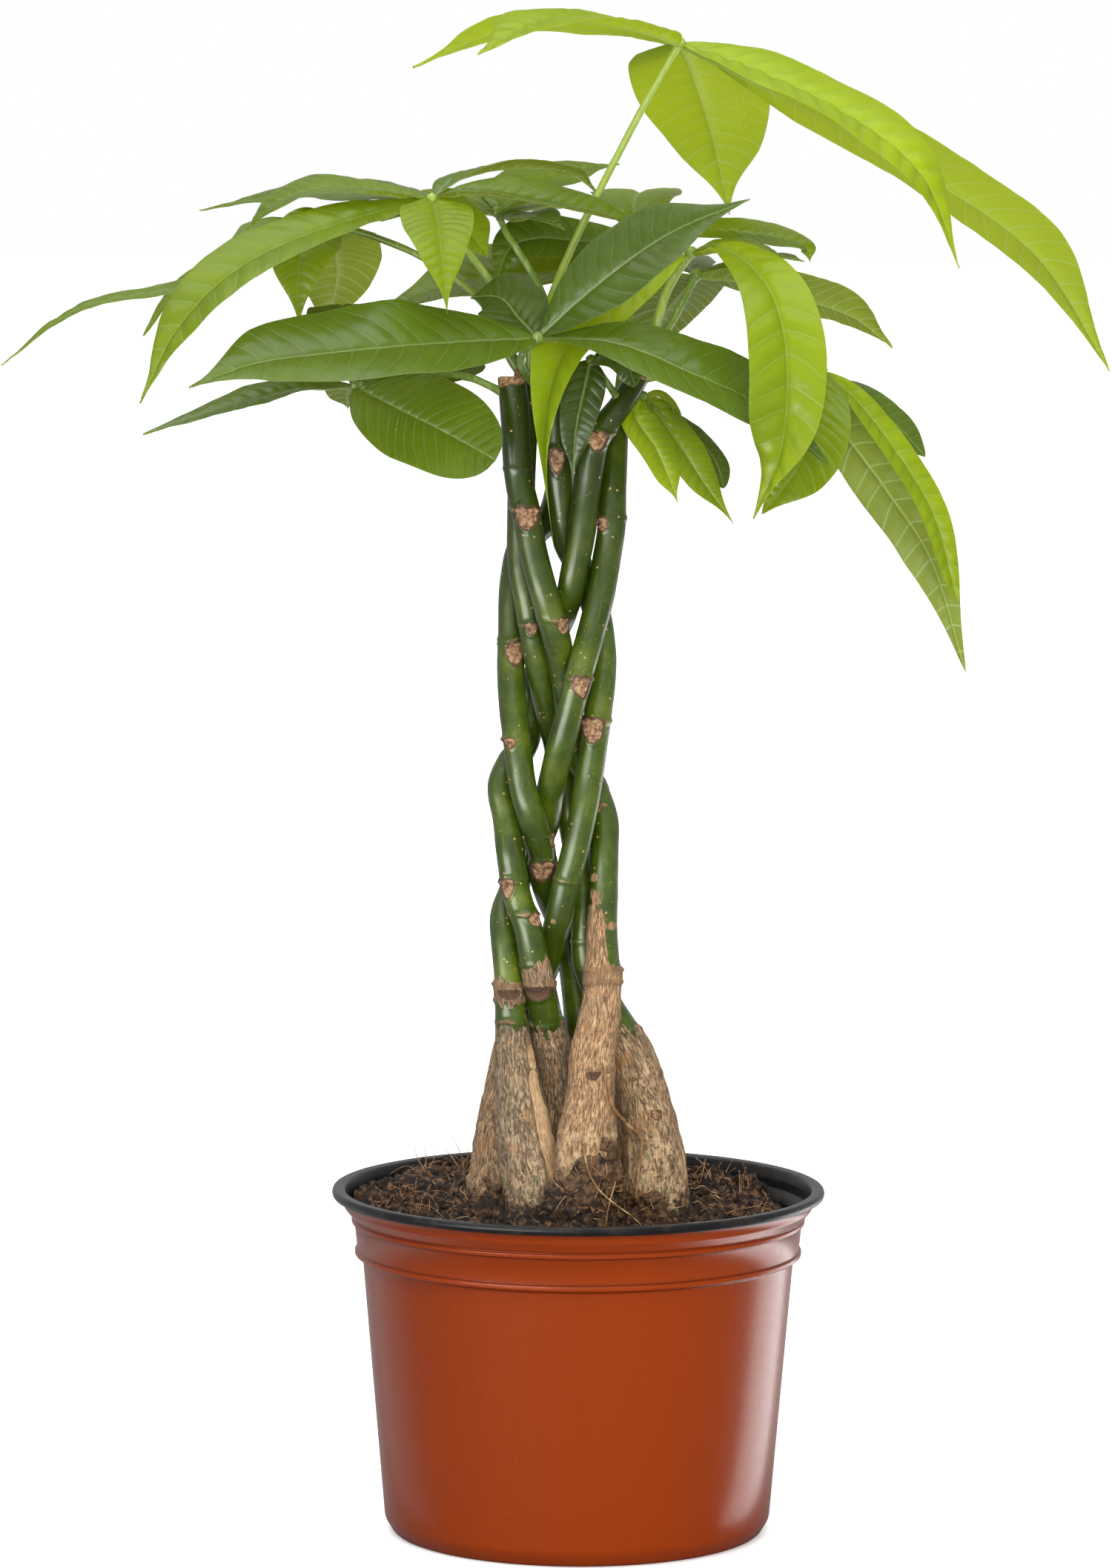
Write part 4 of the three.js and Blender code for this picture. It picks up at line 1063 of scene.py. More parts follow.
POT_OUTSIDE = [
    (1, 1.0, 0), (56, 1.0, 0.8), (57.5, 0, 0.8), (63.5, 0, 3.0), (66.6, 5, 6.0), (74.3, 94.6, 0),
    (74.5, 95.9, 0.5), (76.2, 96.5, 0.4), (77.1, 97.1, 0.4), (77.1, 98.5, 0.5), (76.3, 98.9, 0.3),
    (77.2, 107.6, 0), (78.2, 108.1, 0.4), (78.3, 109.4, 0.5), (77.7, 109.9, 0.3), (80.8, 113.4, 1.5),
    (81.2, 116.9, 0.2),
]
POT_INSIDE = [
    (81.2, 116.9, 0.2), (84.6, 116.9, 0.8), (85.0, 118.4, 1.0), (84.6, 120, 1.0), (80.6, 119.7, 1.2),
    (79.6, 116.2, 2.0), (79.2, 113.4, 1.0), (76.2, 109.8, 0.6), (75.7, 98.2, 0.6), (73.2, 94.8, 0.6),
    (65.4, 6, 4.0), (60, 1.6, 1.0), (1, 1.6, 0),
]


def build_pot(settings):
    """The thin-walled pot: one outline from the underside over the rim to the floor, turned."""
    outside = rounded(POT_OUTSIDE)
    inside = rounded(POT_INSIDE)[1:]
    outline = np.vstack([outside, inside])
    grid = revolve(outline, settings.turns) * MM
    slots = np.where(np.arange(len(outline) - 1) < len(outside) - 1, 0, 1)[:, None]
    skin = Skin()
    skin.add_tube(grid, slots)
    skin.build("pot_shell", [pot_outside(settings), pot_inside(settings)], ["pot"])


# The peat

# The peat's floor and side as r and z, its greatest height, and the radii that crumbs and fibres
# are strewn over and kept inside, all in millimetres

PEAT_FLOOR = [(1, 2.2), (58, 2.2), (63, 6), (72.3, 94)]
PEAT_CEILING = 119
CRUMB_REACH, CRUMB_LIMIT = 77, 74
FIBRE_REACH, FIBRE_LIMIT = 73, 75


def wall_radius(z):
    """Inner radius of the pot at a height, both in millimetres, read off its inner outline."""
    wall = rounded(POT_INSIDE)[::-1]
    return np.interp(z, wall[:, 1], wall[:, 0])


def peat_level(x, y):
    """Height of the peat in millimetres: heaped to the left, with lumps, and up at each stem.

    Each stem adds 3 exp(-clear / 4.5), where clear is the distance from its skin, and each mound
    adds height exp(-distance^2 / (2 width^2)).
    """
    lumps = np.sin(0.21 * x + 1.3) * np.cos(0.17 * y + 0.4)
    clods = np.sin(0.37 * x - 0.29 * y) * np.cos(0.31 * y + 2.1)
    level = 109.5 - 3 * x / 77 + 1.8 * (lumps + 0.6 * clods)
    for mx, my, rise, wide in MOUNDS:
        level = level + rise * np.exp(-((x - mx) ** 2 + (y - my) ** 2) / (2 * wide**2))
    for route in STEM_ROUTES.values():
        foot = route[1]
        clear = np.hypot(x - foot[0], y - foot[1]) - foot[3]
        level = level + 3.0 * np.exp(-np.maximum(clear, 0) / 4.5)
    return level


def peat_height(x, y):
    """The peat's level with its crumbs: noise of several sizes on top of the smooth level."""
    flat = np.stack([x, y, 0 * x], axis=-1)
    crumbs = 2.2 * fractal(flat, 12.0, 3, 3) + 2.1 * np.abs(fractal(flat, 4.4, 9, 3))
    fine = 0.8 * value_noise(flat, 1.6, 21) + 0.45 * value_noise(flat, 0.8, 23)
    return peat_level(x, y) + crumbs + fine - 0.8


def build_peat(settings):
    """The body of peat: a rough top in polar rows, a skirt down the pot's wall and a flat floor.

    The top's edge lies 0.25 mm inside the wall at a height of 108 - 4.5 cos a, each row is a
    share of that reach, and no point is higher than the ceiling.
    """
    angle = circle(settings.turns)
    rows = [revolve(np.array([row]), settings.turns)[0] for row in PEAT_FLOOR]
    shares = np.concatenate([np.linspace(1, 0.04, settings.rows), [0.012]])
    reach = wall_radius(108 - 4.5 * np.cos(angle)) - 0.25
    for share in shares:
        x, y = share * reach * np.cos(angle), share * reach * np.sin(angle)
        rows.append(np.stack([x, y, np.minimum(peat_height(x, y), PEAT_CEILING)], axis=-1))
    skin = Skin()
    skin.add_tube(np.array(rows) * MM)
    skin.build("peat_body", [peat(settings)], ["soil"])


def ball(rings, sides):
    """Points and triangles of a unit ball: rows of latitude with a point at either pole."""
    latitude = np.pi * np.arange(1, rings) / rings
    turn = circle(sides)
    rows = np.stack(
        [
            np.sin(latitude)[:, None] * np.cos(turn),
            np.sin(latitude)[:, None] * np.sin(turn),
            np.repeat(np.cos(latitude)[:, None], sides, 1),
        ],
        axis=-1,
    )
    points = np.vstack([[[0, 0, 1]], rows.reshape(-1, 3), [[0, 0, -1]]])
    index = 1 + np.arange((rings - 1) * sides).reshape(rings - 1, sides)
    right = np.roll(index, -1, axis=1)
    top = np.stack([np.zeros(sides, int), index[0], right[0]], axis=-1)
    bottom = np.stack([np.full(sides, len(points) - 1), right[-1], index[-1]], axis=-1)
    side = np.stack([index[:-1], index[1:], right[1:]], axis=-1).reshape(-1, 3)
    other = np.stack([index[:-1], right[1:], right[:-1]], axis=-1).reshape(-1, 3)
    return points, np.vstack([top, side, other, bottom])


def clear_of_stems(x, y, margin):
    """True where a place in millimetres is outside every stem's foot by the margin."""
    feet = [route[1] for route in STEM_ROUTES.values()]
    return np.all([np.hypot(x - f[0], y - f[1]) > f[3] + margin for f in feet], axis=0)


def build_crumbs(settings):
    """Loose crumbs on the peat: small balls, each stretched and dented by noise, at random places."""
    rng = np.random.default_rng(4)
    points, triangles = ball(4, 6)
    skin = Skin()
    radius = CRUMB_REACH * np.sqrt(rng.random(settings.crumbs))
    turn = 2 * np.pi * rng.random(settings.crumbs)
    x, y = radius * np.cos(turn), radius * np.sin(turn)
    keep = clear_of_stems(x, y, 0.5) & (radius < CRUMB_LIMIT)
    x, y = x[keep], y[keep]
    size = 0.45 + 1.6 * rng.random(len(x)) ** 3
    stretch = 0.6 + 0.8 * rng.random((len(x), 3))
    shapes = points[None] * stretch[:, None] * size[:, None, None]
    dents = value_noise(points[None] * 1.3 + 7 * np.arange(len(x))[:, None, None], 0.8, 5)
    shapes = shapes * (1 + 0.35 * dents[..., None])
    base = np.stack([x, y, peat_height(x, y) + 0.25 * size], axis=-1)
    shapes = (shapes + base[:, None]) * MM
    offset = len(points) * np.arange(len(x))[:, None, None]
    skin.add_solid(shapes.reshape(-1, 3), (triangles[None] + offset).reshape(-1, 3))
    skin.build("peat_crumbs", [peat(settings)], ())


def stem_at(name, z):
    """A stem's middle, x and y, and its radius at a height, read off its route."""
    values, _ = along(STEM_ROUTES[name], np.linspace(0, 1, 400))
    return (np.interp(z, values[:, 2], values[:, k]) for k in (0, 1, 3))


def build_clods(settings):
    """Peat that clings to the feet of some stems: a shell round the foot, thick below its top.

    It stands out by proud smoothstep(top - z) with noise, and sinks into the bark elsewhere. The
    top arches down by 9 (1 - cos a) towards the sides, where a turns from the clod's middle.
    """
    skin = Skin()
    for seed, (name, top, proud, aside) in enumerate(CLODS):
        z = np.linspace(100, top + 10, 130)
        x, y, girth = stem_at(name, z)
        angle = circle(180)
        out = np.stack([np.sin(angle), -np.cos(angle), 0 * angle], axis=-1)
        rough = np.stack([12 * out[:, 0], 12 * out[:, 1], 0 * angle], axis=-1)
        rough = rough[None] + np.array([0, 0, 1.0]) * z[:, None, None]
        height = top - 9 * (1 - np.cos(angle - aside)) + 7 * fractal(rough, 7.0, seed + 60, 3)
        cover = smooth(height - z[:, None], -0.5, 3.0)
        lumps = fractal(rough, 2.8, seed + 70, 4) + 0.5 * value_noise(rough, 0.7, seed + 80)
        reach = girth[:, None] - 1.2 + cover * (1.5 + proud * (1 + 0.75 * lumps))
        centre = np.stack([x, y, z], axis=-1)
        dry = 0.25 + 0.75 * smooth(z, top - 20, top - 4)[:, None] * (0.7 + 0.3 * lumps)
        skin.add_tube((centre[:, None] + out * reach[..., None]) * MM, dry=dry)
    skin.build("peat_clods", [peat(settings)], ())


def build_fibres(settings):
    """Dry root fibres. Each rises from the peat, bends over and may dip into it again.

    Each of its eight steps goes on by length / 8 (cos h, sin h) with h = heading + curl t. It
    follows 0.4 of the peat's ups and downs and rises by length (climb t - sag t^2) above them.
    Sprigs stand up and bow by t^2. Short ones cling to the clods round the feet, and the air
    roots follow their own routes.
    """
    rng = np.random.default_rng(11)
    skin = Skin()
    t = np.linspace(0, 1, 8)
    for _ in range(settings.fibres):
        radius = FIBRE_REACH * math.sqrt(rng.random())
        turn = 2 * np.pi * rng.random()
        length = 4 + 19 * rng.random() ** 2
        bearing = 2 * np.pi * rng.random() + rng.normal(0, 1.3) * t
        climb = 0.08 + 0.9 * rng.random() ** 3
        sag = climb * (0.5 + 0.8 * rng.random())
        x = radius * math.cos(turn) + np.cumsum(np.cos(bearing)) * length / 8
        y = radius * math.sin(turn) + np.cumsum(np.sin(bearing)) * length / 8
        if np.hypot(x, y).max() > FIBRE_LIMIT or not clear_of_stems(x, y, 0.5).all():
            continue
        foot = peat_height(x[:1], y[:1])
        z = foot + 0.1 + 0.4 * (peat_height(x, y) - foot)
        z = z + length * (climb * t - sag * t**2)
        thick = (0.10 + 0.18 * rng.random() ** 2) * (1 - 0.6 * t)
        grid, _, _ = tube(np.stack([x, y, z, thick], axis=-1), 13, 5)
        skin.add_tube(grid * MM)
    for x, y, height in SPRIGS:
        for _ in range(6):
            lean = rng.normal(0, 0.45, 2)
            rise = height * (0.4 + 0.6 * rng.random())
            bow = rng.normal(0, 0.25, 2)
            px = x + 2 * rng.normal() + rise * (lean[0] * t + bow[0] * t**2)
            py = y + 2 * rng.normal() + rise * (lean[1] * t + bow[1] * t**2)
            pz = peat_height(px[:1], py[:1]) - 1 + rise * t
            route = np.stack([px, py, pz, 0.24 - 0.14 * t], axis=-1)
            skin.add_tube(tube(route, 12, 5)[0] * MM)
    for name, top, _, aside in CLODS:
        for _ in range(settings.fibres // 12):
            angle = aside + rng.normal(0, 0.8) + rng.normal(0, 0.35) * t
            z = top - 3 - 22 * rng.random() + rng.normal(0, 5) * t
            cx, cy, girth = stem_at(name, z)
            reach = girth + 2.0 + 2.2 * np.sin(np.pi * t) * rng.random()
            route = [cx + reach * np.sin(angle), cy - reach * np.cos(angle), z, 0.2 - 0.12 * t]
            skin.add_tube(tube(np.stack(route, axis=-1), 12, 5)[0] * MM)
    for points, thick in AIR_ROOTS:
        route = [(*point, thick * (1 - 0.1 * k)) for k, point in enumerate(points)]
        grid, outward, _ = tube(route, 70, 10)
        grid = grid + outward * 0.25 * thick * value_noise(grid, 1.4, 3)[..., None]
        skin.add_tube(grid * MM)
    skin.build("root_fibres", [root_skin()], ())


# The stems

# Width of a joint in millimetres where the table gives none, the rings that close a cut top as
# shares of its radius, and the stick that the grain is read from: its radius and its stretch

RING_WIDTH = 0.8
CAP_SHARES = (0.97, 0.86, 0.6, 0.3, 0.1)
GRAIN_RADIUS = 8.0 * MM
GRAIN_STRETCH = 0.22

# Distance between the round scars on the stems' backs, in millimetres

BACK_SCAR_STEP = 62


def turned_away(facing, start=-0.25):
    """0 where the skin faces the front, rising smoothly to 3 as it turns away."""
    return 3 * smooth(facing, start, 0.1)


def scar_field(name, grid, outward, distance, seed):
    """How deep inside a leaf scar each point is: 1 in its middle, 0 at its edge, less outside.

    A scar is a shield: 1 - sqrt((dx / (a w))^2 + v^2) with v = dz / b, w = 0.85 + 0.25 v, and a
    notch that lifts v by 0.25 near the middle of its upper edge. A half-moon is the lower half
    of an ellipse: the smaller of 1 - sqrt((dx / a)^2 + v^2) and 1.6 (0.3 - v). On the back, which
    the table leaves out, a round scar follows every 62 mm. The second result is 1 on half-moons.
    """
    x, z = grid[..., 0], grid[..., 2]
    field = np.full(x.shape, -1.0)
    wobble = 0.16 * value_noise(grid, 2.1, seed + 12) + 0.1 * value_noise(grid, 0.9, seed + 13)
    hidden = turned_away(outward[..., 1])
    moons = np.zeros(x.shape)
    for cx, cz, a, b, *moon in STEM_SCARS[name]:
        v = (z - cz) / b
        if moon:
            half = np.minimum(1 - np.hypot((x - cx) / a, v), 1.6 * (0.3 - v)) + 0.5 * wobble - hidden
            moons = np.maximum(moons, smooth(half, -0.1, 0.1))
            field = np.maximum(field, half)
            continue
        v = v + 0.25 * np.exp(-(((x - cx) / (0.3 * a)) ** 2)) * (v > 0)
        across = (x - cx) / (a * np.clip(0.85 + 0.25 * v, 0.5, 1.15))
        field = np.maximum(field, 1 - np.hypot(across, v) + wobble - hidden)
    rng = np.random.default_rng(seed)
    for at in np.arange(40, distance[-1] - 20, BACK_SCAR_STEP) + 18 * rng.random():
        row = np.searchsorted(distance, at)
        spot = grid[row, int(rng.integers(grid.shape[1]))]
        away = np.linalg.norm(grid - spot, axis=-1) / (2.4 + 1.4 * rng.random())
        hidden = turned_away(-outward[..., 1])
        field = np.maximum(field, 1 - away + wobble - hidden)
    return np.clip(field, -1, 1), moons


def ring_field(name, grid, seed):
    """Raised joints: height times exp(-(dz / width)^2) round each joint, wavering by noise.

    Beside each scar's upper edge a short wing stands out in the same way and dies away.
    """
    z = grid[..., 2].mean(axis=1, keepdims=True) * 0.5 + grid[..., 2] * 0.5
    waver = 0.7 * value_noise(grid, 5.0, seed + 17)
    broken = 0.65 + 0.5 * value_noise(grid, 3.2, seed + 19)
    total = np.zeros(grid.shape[:2])
    for height, proud, *wide in STEM_RINGS[name]:
        width = wide[0] if wide else RING_WIDTH
        total = total + 1.2 * proud * np.exp(-(((z + waver - height) / width) ** 2)) * broken
    for cx, cz, a, b, *_ in STEM_SCARS[name]:
        beside = np.abs(grid[..., 0] - cx)
        wing = np.exp(-(((grid[..., 2] + 0.6 * waver - cz - 0.55 * b) / 0.55) ** 2))
        total = np.maximum(total, 1.1 * wing * (1 - smooth(beside, a, 3 * a)) * broken)
    return total


def peel_field(name, grid, outward):
    """How far inside a peeled strip each point is: 1 on its middle line and 0 at its edge."""
    field = np.full(grid.shape[:2], -1.0)
    for x0, z0, x1, z1, w0, w1 in STEM_PEELS.get(name, []):
        dx, dz = x1 - x0, z1 - z0
        k = ((grid[..., 0] - x0) * dx + (grid[..., 2] - z0) * dz) / (dx * dx + dz * dz)
        k = np.clip(k, 0, 1)
        away = np.hypot(grid[..., 0] - x0 - k * dx, grid[..., 2] - z0 - k * dz)
        hidden = turned_away(outward[..., 1], -0.2)
        field = np.maximum(field, 1 - away / (w0 + (w1 - w0) * k) - hidden)
    return np.clip(field, -1, 1)


def bark_depth(name, grid, outward):
    """How far below the cork's upper edge a point is, in centimetres.

    The front stem's cork climbs 18 mm higher on its left side than on its right. A patch on the
    front lifts the depth to at least 0.9 (1 - sqrt((dx / a)^2 + (dz / b)^2)).
    """
    depth = (STEM_CORK[name][0] - grid[..., 2]) / 10
    if name == "stem_front":
        middle = grid[..., 0].mean(axis=1, keepdims=True)
        depth = depth + 1.8 * smooth(middle - grid[..., 0], -2.6, -0.4)
    hidden = turned_away(outward[..., 1])
    for x, z, a, b in STEM_PATCHES.get(name, []):
        patch = 0.9 * (1 - np.hypot((grid[..., 0] - x) / a, (grid[..., 2] - z) / b))
        depth = np.maximum(depth, patch - hidden)
    return depth


def stem_relief(grid, bark, scar, ring, peel, seed):
    """How far a stem's skin stands out, in millimetres.

    Slow lumps and upright furrows that deepen towards the foot, rings at the joints, a raised lip
    round each scar with a hollow inside it, and a step down into each peeled strip.
    """
    foot = smooth(bark, 0.0, 4.5)
    cork = smooth(bark, -0.2, 0.6)
    stand = (0.14 + 0.75 * foot) * fractal(grid, 13.0, seed, 3)
    upright = grid * np.array([1, 1, 0.13])
    furrow = np.abs(fractal(upright, 1.9, seed + 4, 2))
    stand = stand - (0.05 + 0.4 * foot) * furrow * (0.15 + cork)
    lip = np.exp(-(((scar + 0.12) / 0.16) ** 2))
    hollow = smooth(scar, 0.0, 0.25)
    return stand + ring + 0.4 * lip - 0.25 * hollow - 0.35 * smooth(peel, -0.1, 0.1)


def cut_top(rim, up, seed):
    """Rings that close a cut top: the rim drawn in by each share, slightly domed and ragged."""
    centre = rim.mean(axis=0)
    ragged = value_noise(rim, 2.2, seed)[:, None]
    return np.array([
        centre + (rim - centre) * share + up * (0.25 + 0.5 * ragged * share) for share in CAP_SHARES
    ])


def build_stems(settings):
    """The braided stems: each a tube along its route with bark relief and a cut, domed top.

    The grain value places each point on a straight stick, 0.22 of the stem's length, so that the
    streaks follow the stem's bends. The uppermost 4 mm under a cut are scarred too.
    """
    material = stem_bark(settings)
    for seed, (name, route) in enumerate(STEM_ROUTES.items()):
        grid, outward, distance = tube(route, settings.stations, settings.sides)
        _, flaky_top, warmth = STEM_CORK[name]
        bark = bark_depth(name, grid, outward)
        scar, moon = scar_field(name, grid, outward, distance, 31 * seed)
        ring = ring_field(name, grid, 31 * seed)
        peel = peel_field(name, grid, outward)
        stand = stem_relief(grid, bark, scar, ring, peel, 31 * seed)
        grid = grid + outward * stand[..., None]
        up = unit(np.subtract(route[-1][:3], route[-2][:3]))
        full = np.concatenate([grid, cut_top(grid[-1], up, seed)])
        extra = np.ones((len(CAP_SHARES), settings.sides))
        around = circle(settings.sides)
        steps = np.arange(1, len(CAP_SHARES) + 1)
        reach = np.concatenate([distance, distance[-1] + steps * 0.3])
        below = (distance[-1] - reach)[:, None] + 1.5 * value_noise(full, 3.0, seed + 5)
        cut = smooth(below, 4.2, 1.2) * 1.6 - 1.0
        scar = np.maximum(np.concatenate([scar, extra]), cut)
        skin = Skin()
        skin.add_tube(
            full * MM,
            bark=np.concatenate([bark, -3 * extra]),
            scar=scar,
            moon=np.concatenate([moon, 0 * extra]),
            ring=np.concatenate([ring, 0 * extra]),
            peel=np.concatenate([peel, -extra]),
            flaky=(flaky_top - full[..., 2]) / 10,
            warmth=warmth,
            grain_x=np.broadcast_to(GRAIN_RADIUS * np.cos(around), full.shape[:2]),
            grain_y=np.broadcast_to(GRAIN_RADIUS * np.sin(around), full.shape[:2]),
            grain_z=np.repeat(reach[:, None], settings.sides, 1) * GRAIN_STRETCH * MM + seed,
        )
        piece = skin.build(f"{name}_bark", [material], [name])
        pack_grain(piece.data)


def pack_grain(mesh):
    """Joins the three grain values into one vector, so that streaks follow the stem."""
    vectors = np.zeros((len(mesh.vertices), 3), np.float32)
    for axis, key in enumerate(("grain_x", "grain_y", "grain_z")):
        column = np.zeros(len(mesh.vertices), np.float32)
        mesh.attributes[key].data.foreach_get("value", column)
        vectors[:, axis] = column
        mesh.attributes.remove(mesh.attributes[key])
    mesh.attributes.new("grain", "FLOAT_VECTOR", "POINT").data.foreach_set("vector", vectors.ravel())


# The leaves

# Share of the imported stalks' radius that is drawn, and, in millimetres, a blade's thickness and
# the least and greatest distance between side veins

STALK_SHARE = 0.84
BLADE_THICKNESS = 0.28
VEIN_SPACING = (3.2, 9.0)


def half_width(width, base, tip, t):
    """Half a leaflet's width: w/2 (t/p)^base ((1-t)/(1-p))^tip, which peaks at p."""
    peak = base / (base + tip)
    shape = (t / peak) ** base * ((1 - t) / (1 - peak)) ** tip
    return width / 2 * shape


def over_and_under(values):
    """Values from edge to edge, and back again for the underside."""
    return np.concatenate([values, values[:, -2:0:-1]], axis=1)


def leaflet_grid(hub, leaflet, turn, seed, settings):
    """One leaflet as a closed thin blade, with the values that its materials read.

    A point lies at rib(t) + A w u cos(fold) + N (|u| w sin(fold) + wave + pillow + ripple +
    camber), where w is half the width, u runs from -1 to 1 across it, A is across and N is up.
    The upper skin has a groove along the midrib. The underside lies a blade's thickness below and
    swells round the midrib and the side veins. A blade whose tip power is above 0.6 also narrows
    towards its point. Rows lie closer at both ends, and columns at the midrib and the edges.
    """
    rib, width, tilt, fold, base, tip, tone = leaflet
    even = np.linspace(0, 1, settings.rows)
    t = 0.6 * even + 0.2 * (1 - np.cos(np.pi * even))
    place, heading = along([hub, *rib], t)
    lean = math.radians(tilt)
    face = np.array([0, -math.sin(lean), math.cos(lean)])
    normal = unit(face - (heading @ face)[:, None] * heading)
    across = np.cross(heading, normal)
    length = run_length(place)
    half = half_width(width, base, tip, t)
    rim = value_noise(np.stack([length, 0 * t, 0 * t], axis=-1), 11.0, seed)
    slender = 0.55 * smooth(tip, 0.6, 0.85)
    half = half * (1 + 0.014 * rim) * (1 - slender * smooth(t, 0.72, 0.97))
    half = np.maximum(half, 0.75 * (1 - t) ** 2 + 0.12)
    k = np.linspace(0, 1, settings.columns)
    side = (1 - np.cos(np.pi * k)) / 2
    u = np.concatenate([-side[::-1], side[1:]])
    x = half[:, None] * u
    spacing = float(np.clip(length[-1] / settings.veins, *VEIN_SPACING))
    drift = 0.8 * np.sin(0.26 * length[:, None])
    start = length[:, None] - 0.42 * np.abs(x) - 0.014 * x**2 + drift
    gap = np.abs(start / spacing - np.round(start / spacing))
    pillow = np.sin(np.pi * gap) * np.minimum(np.abs(x) / 2.5, 1) * (1 - np.abs(u) ** 3)
    lift = np.radians(np.interp(t, (0, 1), np.broadcast_to(fold, 2)))[:, None]
    phase = 2 * np.pi * 2.5 * t[:, None] + turn + np.where(u > 0, 1.6, 0)
    wave = 0.02 * width * np.sin(phase) * (half / (width / 2))[:, None] * u**2
    flat = np.stack([x, np.repeat(length[:, None], len(u), 1), 0 * x + seed], axis=-1)
    ripple = 0.5 * value_noise(flat, 9.0, seed + 3) * u**2 + 0.16 * value_noise(flat, 3.0, seed + 5)
    camber = 0.10 * half[:, None] * (np.abs(u) - u**2)
    quilt = settings.pillow * (0.35 + tone)
    rise = np.abs(x) * np.sin(lift) + wave + quilt * pillow + ripple * settings.ripple + camber
    aside = across[:, None] * (x * np.cos(lift))[..., None]
    sheet = place[:, None] + aside + normal[:, None] * rise[..., None]
    vein = np.exp(-((gap * spacing / 0.35) ** 2)) * np.minimum(np.abs(x), 1) * (1 - np.abs(u) ** 3)
    stout = (1.15 * (1 - t) + 0.22)[:, None]
    ridge = stout * np.exp(-((x / (0.75 * stout + 0.2)) ** 2))
    closing = np.sqrt(np.clip(1 - u**10, 0, 1))
    thick = BLADE_THICKNESS * closing
    groove = 0.35 * stout * np.exp(-((x / (0.6 * stout)) ** 2))
    upper = sheet - normal[:, None] * groove[..., None]
    lower = sheet - normal[:, None] * (thick + (0.16 * vein + ridge) * closing)[..., None]
    ring = np.concatenate([upper, lower[:, -2:0:-1]], axis=1)
    columns = len(u)
    slots = np.where(np.arange(ring.shape[1]) < columns - 1, 0, 1)[None]
    values = dict(
        across=over_and_under(x) * MM,
        along=over_and_under(np.repeat(length[:, None], columns, 1)) * MM,
        edge=over_and_under(np.broadcast_to(np.abs(u), x.shape)),
        rib=np.broadcast_to((0.55 * stout + 0.16) * MM, ring.shape[:2]),
        spacing=np.full(ring.shape[:2], spacing * MM),
        tone=np.full(ring.shape[:2], tone),
    )
    return ring, slots, values


def build_leaf(name, leaf, order, materials, settings):
    """One compound leaf: its stalk, the knob where it ends, and its leaflets.

    The stalk swells by 0.45 exp(-(s / 4)^2) + 0.5 exp(-(e / 2.5)^2), where s and e are the
    distances from its foot and from its end.
    """
    skin = Skin()
    foot, top = leaf["radius"]
    last = len(leaf["stalk"]) - 1
    route = [
        (*point, STALK_SHARE * (foot + (top - foot) * k / last))
        for k, point in enumerate(leaf["stalk"])
    ]
    grid, outward, distance = tube(route, 48, 14)
    left = distance[-1] - distance
    swell = 0.45 * np.exp(-((distance / 4.0) ** 2)) + 0.5 * np.exp(-((left / 2.5) ** 2))
    grid = grid + outward * (swell[:, None] + 0.1 * value_noise(grid, 4.0, order))[..., None]
    tone = float(np.mean([leaflet[-1] for leaflet in leaf["leaflets"]]))
    skin.add_tube(grid * MM, 2, tone=tone)
    points, triangles = ball(8, 14)
    hub = np.array(leaf["stalk"][-1], float)
    knob = points * (top + 0.75) * (1 + 0.12 * value_noise(points * 3, 1.4, order))[:, None]
    skin.add_solid((knob + hub) * MM, triangles, 2, tone=tone)
    for k, leaflet in enumerate(leaf["leaflets"]):
        ring, slots, values = leaflet_grid(hub, leaflet, order + 1.7 * k, 10 * order + k, settings)
        skin.add_tube(ring * MM, slots, **values)
    skin.build(f"{name}_blades", materials, [name])


def build_leaves(settings):
    """All compound leaves, with one set of materials."""
    materials = [leaf_upper(settings), leaf_under(settings), leaf_stalk(settings)]
    for order, (name, leaf) in enumerate(LEAVES.items()):
        build_leaf(name, leaf, order, materials, settings)


# The stage

# The camera's place in millimetres, its angles in radians, and its focal length and the height of
# its picture in pixels

CAMERA_PLACE = (-8.235, -2400, 515.2)
CAMERA_PITCH = 0.10604
CAMERA_ROLL = 0.00386
FOCAL_PIXELS = 9487
PHOTO_HEIGHT = 2116

# The floor's half width in metres, the light that it gives off to the camera, the share of the
# world's white that is mirrored, and the softboxes as place, target and size in metres

FLOOR_REACH = 14.0
FLOOR_SHINE = 0.35
MIRRORED_SHARE = 0.6
SOFTBOXES = {
    "key": ((0.35, -2.3, 0.8), (0, 0, 0.28), (1.8, 1.6)),
    "back": ((0.3, 2.3, 1.7), (0, 0, 0.4), (3.0, 1.6)),
}

# Glowing panels that only mirror in glossy skin: a share of the glow's strength, and corners as
# metres from the pot's middle, degrees from the camera's side and metres up. Two of them lie just
# above the floor, at GLOW_LOW

GLOW_LOW = 0.0015
GLOWS = {
    "right_glow": (1, (
        (0.085, 58, GLOW_LOW), (1.65, 113, GLOW_LOW), (1.63, 148, GLOW_LOW), (0.085, 76, GLOW_LOW),
    )),
    "left_glow": (0.18, (
        (0.085, -57, GLOW_LOW), (1.65, -111, GLOW_LOW), (1.63, -145, GLOW_LOW),
        (0.085, -74, GLOW_LOW),
    )),
    "stem_glow": (3.3, ((1.0, -58, 0.05), (1.0, -58, 0.34), (1.0, -14, 0.34), (1.0, -14, 0.05))),
}


